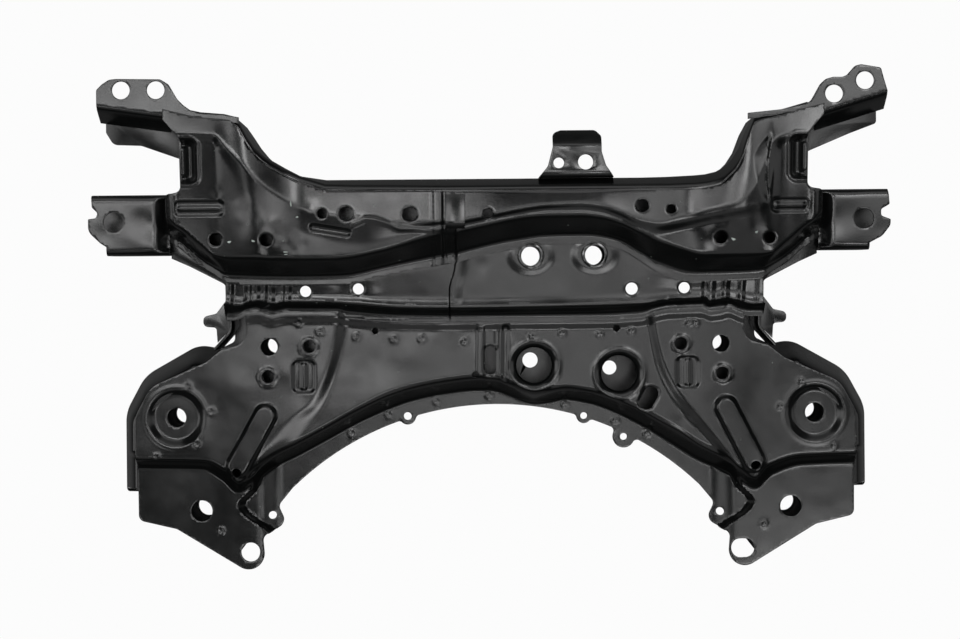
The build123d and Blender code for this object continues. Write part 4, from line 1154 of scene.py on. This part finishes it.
# Chips and scratches through the coat: x, y, length, width and turn
CHIPS = [
    (-258.5, 79.6, 3.6, 2.0, 0.2), (-235.1, 80.4, 3.4, 1.6, -0.3), (-204, 69.4, 4.2, 0.9, 0.0),
    (-203.6, 67.0, 3.6, 0.7, 0.1), (-197.8, 116.1, 1.0, 5.0, 0.1), (-192, 103.4, 2.4, 1.4, 0.3),
    (233.1, 78.2, 4.2, 2.2, -0.4), (255.5, 84.9, 2.6, 1.8, 0.5),
]
CHIP_POINTS, CHIP_LIFT = 14, 0.12


def chips(places, shape):
    """Return small flat flakes lying on a panel, as one mesh."""
    vertices, faces = [], []
    for k, (cx, cy, length, width, turn) in enumerate(places):
        angles = np.arange(CHIP_POINTS) * 2 * math.pi / CHIP_POINTS
        uneven = 1 + 0.22 * np.sin(3 * angles + k) + 0.12 * np.sin(5 * angles + 2 * k)
        u, v = length / 2 * uneven * np.cos(angles), width / 2 * uneven * np.sin(angles)
        x = cx + u * math.cos(turn) - v * math.sin(turn)
        y = cy + u * math.sin(turn) + v * math.cos(turn)
        first = len(vertices)
        vertices += np.column_stack([x, y, shape(x, y) + CHIP_LIFT]).tolist()
        faces.append(tuple(range(first, first + CHIP_POINTS)))
    mesh = bpy.data.meshes.new("chips")
    mesh.from_pydata((np.array(vertices) * MM).tolist(), [], faces)
    return mesh


# Pieces that keep the part's own shape, with their edges softened
PLATE_EDGE, TUBE_EDGE = 0.35, 0.4


def softened(node, edge, sharp=35.0):
    """Return a smooth copy of a node's mesh with small round edges."""
    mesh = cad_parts[node].data.copy()
    shape = bmesh.new()
    shape.from_mesh(mesh)
    bmesh.ops.remove_doubles(shape, verts=shape.verts, dist=2e-6)
    bmesh.ops.dissolve_limit(shape, angle_limit=math.radians(0.6), verts=shape.verts, edges=shape.edges)
    shape.to_mesh(mesh)
    shape.free()
    piece = linked(node + "_coated", mesh)
    return bevelled(piece, edge, 50, sharp) if edge else settled(piece, sharp)


# Materials
def linear(code):
    """Return a hex sRGB colour as linear red, green, blue and full alpha."""
    parts = [int(code[i : i + 2], 16) / 255 for i in (0, 2, 4)]
    return [p / 12.92 if p <= 0.04045 else ((p + 0.055) / 1.055) ** 2.4 for p in parts] + [1.0]


def add(tree, kind, inputs=(), **settings):
    """Add a node to a tree with its settings, and its inputs as values or links."""
    made = tree.nodes.new(kind)
    for key, value in settings.items():
        setattr(made, key, value)
    for key, value in dict(inputs).items():
        if isinstance(value, bpy.types.NodeSocket):
            tree.links.new(value, made.inputs[key])
        else:
            made.inputs[key].default_value = value
    return made


def noise(tree, place, grain, detail, roughness=0.5):
    """Add a noise texture with a grain of that many metres, and return its value."""
    inputs = {"Vector": place, "Scale": 1 / grain, "Detail": detail, "Roughness": roughness}
    return add(tree, "ShaderNodeTexNoise", inputs).outputs["Fac"]


def mapped(tree, value, low, high, to_low, to_high):
    """Add a node that maps one range of a value to another, and return the result."""
    inputs = {"Value": value, "From Min": low, "From Max": high, "To Min": to_low, "To Max": to_high}
    return add(tree, "ShaderNodeMapRange", inputs).outputs["Result"]


def product(tree, first, second):
    """Add a node that multiplies two values, and return the result."""
    return add(tree, "ShaderNodeMath", {0: first, 1: second}, operation="MULTIPLY").outputs[0]


def bare_material(name):
    """Return a new material and its emptied node tree."""
    material = bpy.data.materials.new(name)
    material.use_nodes = True
    material.node_tree.nodes.clear()
    return material, material.node_tree


def coat_material(name, colour, roughness, dust):
    """Return the black cathodic dip coat: a thin even paint, half gloss, with faint orange peel,
    fine rubs and dust specks."""
    material, tree = bare_material(name)
    place = add(tree, "ShaderNodeTexCoord").outputs["Object"]
    speck = add(tree, "ShaderNodeTexVoronoi", {"Vector": place, "Scale": 1 / 0.011}).outputs["Distance"]
    rare = mapped(tree, noise(tree, place, 0.007, 0.0), 0.60, 0.66, 0.0, dust)
    specks = product(tree, mapped(tree, speck, 0.045, 0.09, 1.0, 0.0), rare)
    tone = add(
        tree, "ShaderNodeMix", {"Factor": specks, 6: linear(colour), 7: linear("6E7570")}, data_type="RGBA"
    )
    patch = noise(tree, place, 0.045, 3.0, 0.6)
    rough = mapped(tree, patch, 0.3, 0.7, roughness - 0.05, roughness + 0.06)
    wave = noise(tree, place, 0.030, 1.0)
    broad = add(tree, "ShaderNodeBump", {"Strength": 0.3, "Distance": 0.0010, "Height": wave})
    peel = noise(tree, place, 0.0022, 2.0)
    fine = add(
        tree, "ShaderNodeBump",
        {"Strength": 0.22, "Distance": 0.0001, "Height": peel, "Normal": broad.outputs["Normal"]},
    )
    shader = add(
        tree, "ShaderNodeBsdfPrincipled",
        {"Base Color": tone.outputs[2], "Roughness": rough, "Normal": fine.outputs["Normal"], "IOR": 1.6},
    )
    add(tree, "ShaderNodeOutputMaterial", {"Surface": shader.outputs["BSDF"]})
    return material


def chip_material():
    """Return the greenish primer that shows where the coat is chipped: a dull flat film."""
    material, tree = bare_material("chipped_primer")
    shader = add(tree, "ShaderNodeBsdfPrincipled", {"Base Color": linear("AEB8B2"), "Roughness": 0.6})
    add(tree, "ShaderNodeOutputMaterial", {"Surface": shader.outputs["BSDF"]})
    return material


def floor_material(colour):
    """Return the matt pale floor, which the camera sees as white paper."""
    material, tree = bare_material("white_paper")
    paper = add(tree, "ShaderNodeBsdfDiffuse", {"Color": linear(colour)}).outputs[0]
    glow = add(tree, "ShaderNodeEmission", {"Color": (1, 1, 1, 1), "Strength": 1.0}).outputs[0]
    seen = product(tree, add(tree, "ShaderNodeLightPath").outputs["Is Camera Ray"], 0.97)
    both = add(tree, "ShaderNodeMixShader", {0: seen, 1: paper, 2: glow})
    add(tree, "ShaderNodeOutputMaterial", {"Surface": both.outputs[0]})
    return material


class SubframeSizes(bpy.types.PropertyGroup):
    """Sizes that a user would change."""

    rim_edge: bpy.props.FloatProperty(
        name="Rim edge", description="Round on the pressings' cut rims", default=0.0005, min=0.0,
        unit="LENGTH", subtype="DISTANCE",
    )


class SubframeFinish(bpy.types.PropertyGroup):
    """Colours and gloss that a user would change."""

    coat: bpy.props.StringProperty(
        name="Coat colour", description="Black dip coat, as a hex sRGB colour", default="0C0D0D"
    )
    sleeve: bpy.props.StringProperty(
        name="Tube colour", description="Coated tubes and weld nuts, as a hex sRGB colour", default="1A1B1B"
    )
    roughness: bpy.props.FloatProperty(
        name="Roughness", description="How matt the dip coat is", default=0.21, min=0.0, max=1.0,
        subtype="FACTOR",
    )
    floor: bpy.props.StringProperty(
        name="Floor colour", description="Floor, as a hex sRGB colour", default="6A6A6A"
    )


def panel_coat():
    """Return the coat of the pressings, made once."""
    finish = bpy.context.scene.subframe_finish
    return bpy.data.materials.get("black_dip_coat") or coat_material(
        "black_dip_coat", finish.coat, finish.roughness, 0.5
    )


def tube_coat():
    """Return the coat of the tubes and weld nuts, made once."""
    finish = bpy.context.scene.subframe_finish
    return bpy.data.materials.get("coated_tube_steel") or coat_material(
        "coated_tube_steel", finish.sleeve, finish.roughness - 0.08, 0.2
    )


def coated(piece, *nodes):
    """Dress a finished pressing or bead in the pressings' coat."""
    return dressed(piece, panel_coat(), "panel_coat", *nodes)


class SUBFRAME_OT_front_panels(bpy.types.Operator):
    """Add the two front upper panels"""

    bl_idname = "subframe.front_panels"
    bl_label = "Front Upper Panels"

    def execute(self, context):
        left = front_panel(
            "front_upper_left", LINES_LEFT, front_left_marks, FRONT_HOLES_LEFT, -324, JOINT_X, TOWER_SIDE,
            fine_front(FRONT_HOLES_LEFT, STITCH_LEFT, CONTOUR_LEFT),
        )
        coated(left, "front_upper_panel_left")
        notches = [(x, y, ENGINE_NOTCH) for x, y in ENGINE_SLEEVES]
        right = front_panel(
            "front_upper_right", LINES_RIGHT, front_right_marks, FRONT_HOLES_RIGHT, JOINT_X, 324,
            mirrored(TOWER_SIDE), fine_front(FRONT_HOLES_RIGHT, STITCH_RIGHT, STEP_UPPER), notches,
        )
        coated(right, "front_upper_panel_right")
        return {"FINISHED"}


class SUBFRAME_OT_middle_panels(bpy.types.Operator):
    """Add the two middle panels"""

    bl_idname = "subframe.middle_panels"
    bl_label = "Middle Panels"

    def execute(self, context):
        left = middle_panel("middle_left", WALL_FOOT_LEFT, -MIDDLE_END, -30.0, MIDDLE_HOLES_LEFT, -1)
        coated(left, "middle_panel_left")
        sleeves = [(x, y, ENGINE_SLEEVE_RADIUS) for x, y in ENGINE_SLEEVES]
        holes = MIDDLE_HOLES_RIGHT + sleeves
        right = middle_panel("middle_right", WALL_FOOT_RIGHT, -48.0, MIDDLE_END, holes, 1)
        coated(right, "middle_panel_right")
        return {"FINISHED"}


class SUBFRAME_OT_rear_panel(bpy.types.Operator):
    """Add the rear upper panel"""

    bl_idname = "subframe.rear_panel"
    bl_label = "Rear Upper Panel"

    def execute(self, context):
        coated(rear_panel(), "rear_upper_panel")
        return {"FINISHED"}


class SUBFRAME_OT_arm_brackets(bpy.types.Operator):
    """Add the two arm brackets"""

    bl_idname = "subframe.arm_brackets"
    bl_label = "Arm Brackets"

    def execute(self, context):
        for hand in ("left", "right"):
            nodes = [f"arm_bracket_{hand}", f"arm_wall_front_{hand}", f"arm_wall_rear_{hand}"]
            coated(arm_bracket(hand), *nodes)
            coated(arm_floor(hand))
        return {"FINISHED"}


class SUBFRAME_OT_horns(bpy.types.Operator):
    """Add the two horn plates"""

    bl_idname = "subframe.horns"
    bl_label = "Horn Plates"

    def execute(self, context):
        for hand in ("left", "right"):
            coated(horn_upper(hand), f"horn_upper_{hand}")
        return {"FINISHED"}


class SUBFRAME_OT_rims(bpy.types.Operator):
    """Add the two rear side walls"""

    bl_idname = "subframe.rims"
    bl_label = "Rear Side Walls"

    def execute(self, context):
        for hand in ("left", "right"):
            coated(rim_wall(hand), f"rear_side_wall_{hand}")
        return {"FINISHED"}


class SUBFRAME_OT_welds(bpy.types.Operator):
    """Add the weld beads and the chips in the coat"""

    bl_idname = "subframe.welds"
    bl_label = "Weld Beads and Chips"

    def execute(self, context):
        left, right = front_height(LINES_LEFT), front_height(LINES_RIGHT)
        skin = lambda x, y: np.where(
            x < JOINT_X, left(x, y) + front_left_marks(x, y), right(x, y) + front_right_marks(x, y)
        )
        for name, width, path in BEADS:
            coated(weld_bead(name, width, path, skin, panel_coat()))
        flakes = linked("coat_chips", chips(CHIPS, skin))
        dressed(flakes, chip_material(), "panel_coat")
        return {"FINISHED"}


class SUBFRAME_OT_pressings(bpy.types.Operator):
    """Add the lower panel, walls, gussets, horn channels, joint plate and tab"""

    bl_idname = "subframe.pressings"
    bl_label = "Lower Panel and Plates"

    def execute(self, context):
        made_elsewhere = (
            "front_upper", "middle_panel", "rear_upper", "arm_bracket", "arm_wall", "sleeve", "nut",
            "horn_upper", "rear_side_wall",
        )
        for node in sorted(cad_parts):
            if not any(word in node for word in made_elsewhere):
                coated(softened(node, 0.0 if node == "lower_panel" else PLATE_EDGE), node)
        return {"FINISHED"}


class SUBFRAME_OT_tubes(bpy.types.Operator):
    """Add the spacer tubes and weld nuts"""

    bl_idname = "subframe.tubes"
    bl_label = "Tubes and Nuts"

    def execute(self, context):
        for node in sorted(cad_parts):
            if "sleeve" in node or "nut" in node:
                dressed(softened(node, TUBE_EDGE), tube_coat(), "sleeve_coat", node)
        return {"FINISHED"}


# Stage: soft lamps in a ceiling, facing down, each mirrored by the part on its own patch, and
# others at the sides; the camera is the photo's, 2.4 m above the floor
CEILING = 2.2
LAMP_COLUMNS = (
    (-1.15, 0.5), (-0.68, 0.42), (-0.3, 0.34), (0.0, 0.28), (0.3, 0.34), (0.68, 0.42), (1.15, 0.5),
)  # x and width
LAMP_ROWS = (
    (-0.95, 0.4, (4.06, 0, 0, 5.44, 3.15, 6.35, 0)),
    (-0.6, 0.32, (0.68, 0, 0, 0, 0.28, 3.4, 0)),
    (-0.3, 0.29, (0, 0, 0, 1.7, 0.82, 0, 0)),
    (-0.02, 0.28, (0, 0, 4.35, 1.19, 1.34, 0.55, 0)),
    (0.26, 0.28, (0, 5.6, 0, 0, 1.88, 1.74, 1.39)),
    (0.54, 0.32, (6.67, 0, 8.8, 0, 1.7, 3.48, 2.46)),
    (0.95, 0.5, (0.97, 4.39, 0, 0, 0, 8.05, 1.12)),
)  # y, depth and the radiance in each column, 0 for no lamp
PATCH_LAMP = (0.13, -0.3), (0.12, 0.14), 7.0  # a small bright one: place, size and radiance
SIDE_LAMPS = (
    ("front", (0.0, 2.1, 1.9), (2.8, 1.2), 1.02),
    ("front_low", (0.0, 2.6, 0.9), (3.0, 0.8), 0.46),
    ("rear", (0.0, -2.0, 1.9), (2.8, 1.2), 0.4),
    ("left", (-2.3, 0.0, 1.7), (1.2, 2.4), 1.58),
    ("right", (2.3, 0.0, 1.7), (1.2, 2.4), 0.65),
)
SIDE_AIM = (0, 0, 0.1)
ROOM_LIGHT = 0.01
FLOOR_HALF, FLOOR_GAP = 20.0, 0.0002
PHOTO_WIDTH = 960
CAMERA_PLACE, CAMERA_TURN = (-0.0093, 0.0521, 2.4), -0.0087
CAMERA_SENSOR, CAMERA_LENS, CAMERA_SHIFT = 36.0, 87.75, (-5 / PHOTO_WIDTH, -51.5 / PHOTO_WIDTH)


def softbox(name, place, size, radiance):
    """Add an area lamp of that radiance at a place, facing down."""
    data = bpy.data.lights.new(name, "AREA")
    data.shape = "RECTANGLE"
    data.size, data.size_y = size
    data.energy = radiance * math.pi * size[0] * size[1]
    lamp = bpy.data.objects.new(name, data)
    lamp.location = place
    bpy.context.scene.collection.objects.link(lamp)
    return lamp


class SUBFRAME_OT_stage(bpy.types.Operator):
    """Add the floor, lamps and camera"""

    bl_idname = "subframe.stage"
    bl_label = "Stage"

    def execute(self, context):
        finish = context.scene.subframe_finish
        half = FLOOR_HALF
        corners = [(-half, -half, 0), (half, -half, 0), (half, half, 0), (-half, half, 0)]
        mesh = bpy.data.meshes.new("floor")
        mesh.from_pydata(corners, [], [(0, 1, 2, 3)])
        floor = linked("floor", mesh)
        floor.location.z = CAD_BOUNDS[0][2] - FLOOR_GAP
        mesh.materials.append(floor_material(finish.floor))

        lamps = [
            ((x, y), (width, depth), radiance)
            for y, depth, row in LAMP_ROWS
            for (x, width), radiance in zip(LAMP_COLUMNS, row)
            if radiance
        ]
        # from the rear to the front, because the earlier of two lamps that overlap is the one seen
        for place, size, radiance in sorted([*lamps, PATCH_LAMP], key=lambda lamp: lamp[0][::-1]):
            softbox("ceiling_lamp", (*place, CEILING), size, radiance)
        for name, place, size, radiance in SIDE_LAMPS:
            lamp = softbox(name, place, size, radiance)
            lamp.rotation_euler = (Vector(SIDE_AIM) - lamp.location).to_track_quat("-Z", "Y").to_euler()

        world = bpy.data.worlds.new("dim_room")
        world.use_nodes = True
        sky = world.node_tree.nodes["Background"]
        sky.inputs["Color"].default_value = (1, 1, 1, 1)
        sky.inputs["Strength"].default_value = ROOM_LIGHT
        context.scene.world = world
        context.scene.view_settings.view_transform = "Standard"

        data = bpy.data.cameras.new("photo_camera")
        data.sensor_width = CAMERA_SENSOR
        data.lens = CAMERA_LENS
        data.shift_x, data.shift_y = CAMERA_SHIFT
        camera = bpy.data.objects.new("photo_camera", data)
        camera.location = CAMERA_PLACE
        camera.rotation_euler = (0.0, 0.0, CAMERA_TURN)
        context.scene.collection.objects.link(camera)
        context.scene.camera = camera
        return {"FINISHED"}


OPERATORS = (
    SUBFRAME_OT_front_panels,
    SUBFRAME_OT_middle_panels,
    SUBFRAME_OT_rear_panel,
    SUBFRAME_OT_arm_brackets,
    SUBFRAME_OT_horns,
    SUBFRAME_OT_rims,
    SUBFRAME_OT_welds,
    SUBFRAME_OT_pressings,
    SUBFRAME_OT_tubes,
    SUBFRAME_OT_stage,
)


class SUBFRAME_PT_panel(bpy.types.Panel):
    """Lists the pieces of the subframe"""

    bl_idname = "SUBFRAME_PT_panel"
    bl_label = "Subframe"
    bl_space_type = "VIEW_3D"
    bl_region_type = "UI"
    bl_category = "Subframe"

    def draw(self, context):
        for group in (context.scene.subframe_sizes, context.scene.subframe_finish):
            for key in group.bl_rna.properties.keys():
                if key not in ("rna_type", "name"):
                    self.layout.prop(group, key)
        for operator in OPERATORS:
            self.layout.operator(operator.bl_idname)


CLASSES = (SubframeSizes, SubframeFinish, *OPERATORS, SUBFRAME_PT_panel)


def register():
    """Register the classes and their settings."""
    for kind in CLASSES:
        bpy.utils.register_class(kind)
    bpy.types.Scene.subframe_sizes = bpy.props.PointerProperty(type=SubframeSizes)
    bpy.types.Scene.subframe_finish = bpy.props.PointerProperty(type=SubframeFinish)


def unregister():
    """Remove the classes and their settings."""
    del bpy.types.Scene.subframe_sizes
    del bpy.types.Scene.subframe_finish
    for kind in reversed(CLASSES):
        bpy.utils.unregister_class(kind)


def main():
    """Dress the subframe."""
    register()
    for operator in OPERATORS:
        group, name = operator.bl_idname.split(".")
        getattr(getattr(bpy.ops, group), name)()


if __name__ == "__main__":
    main()
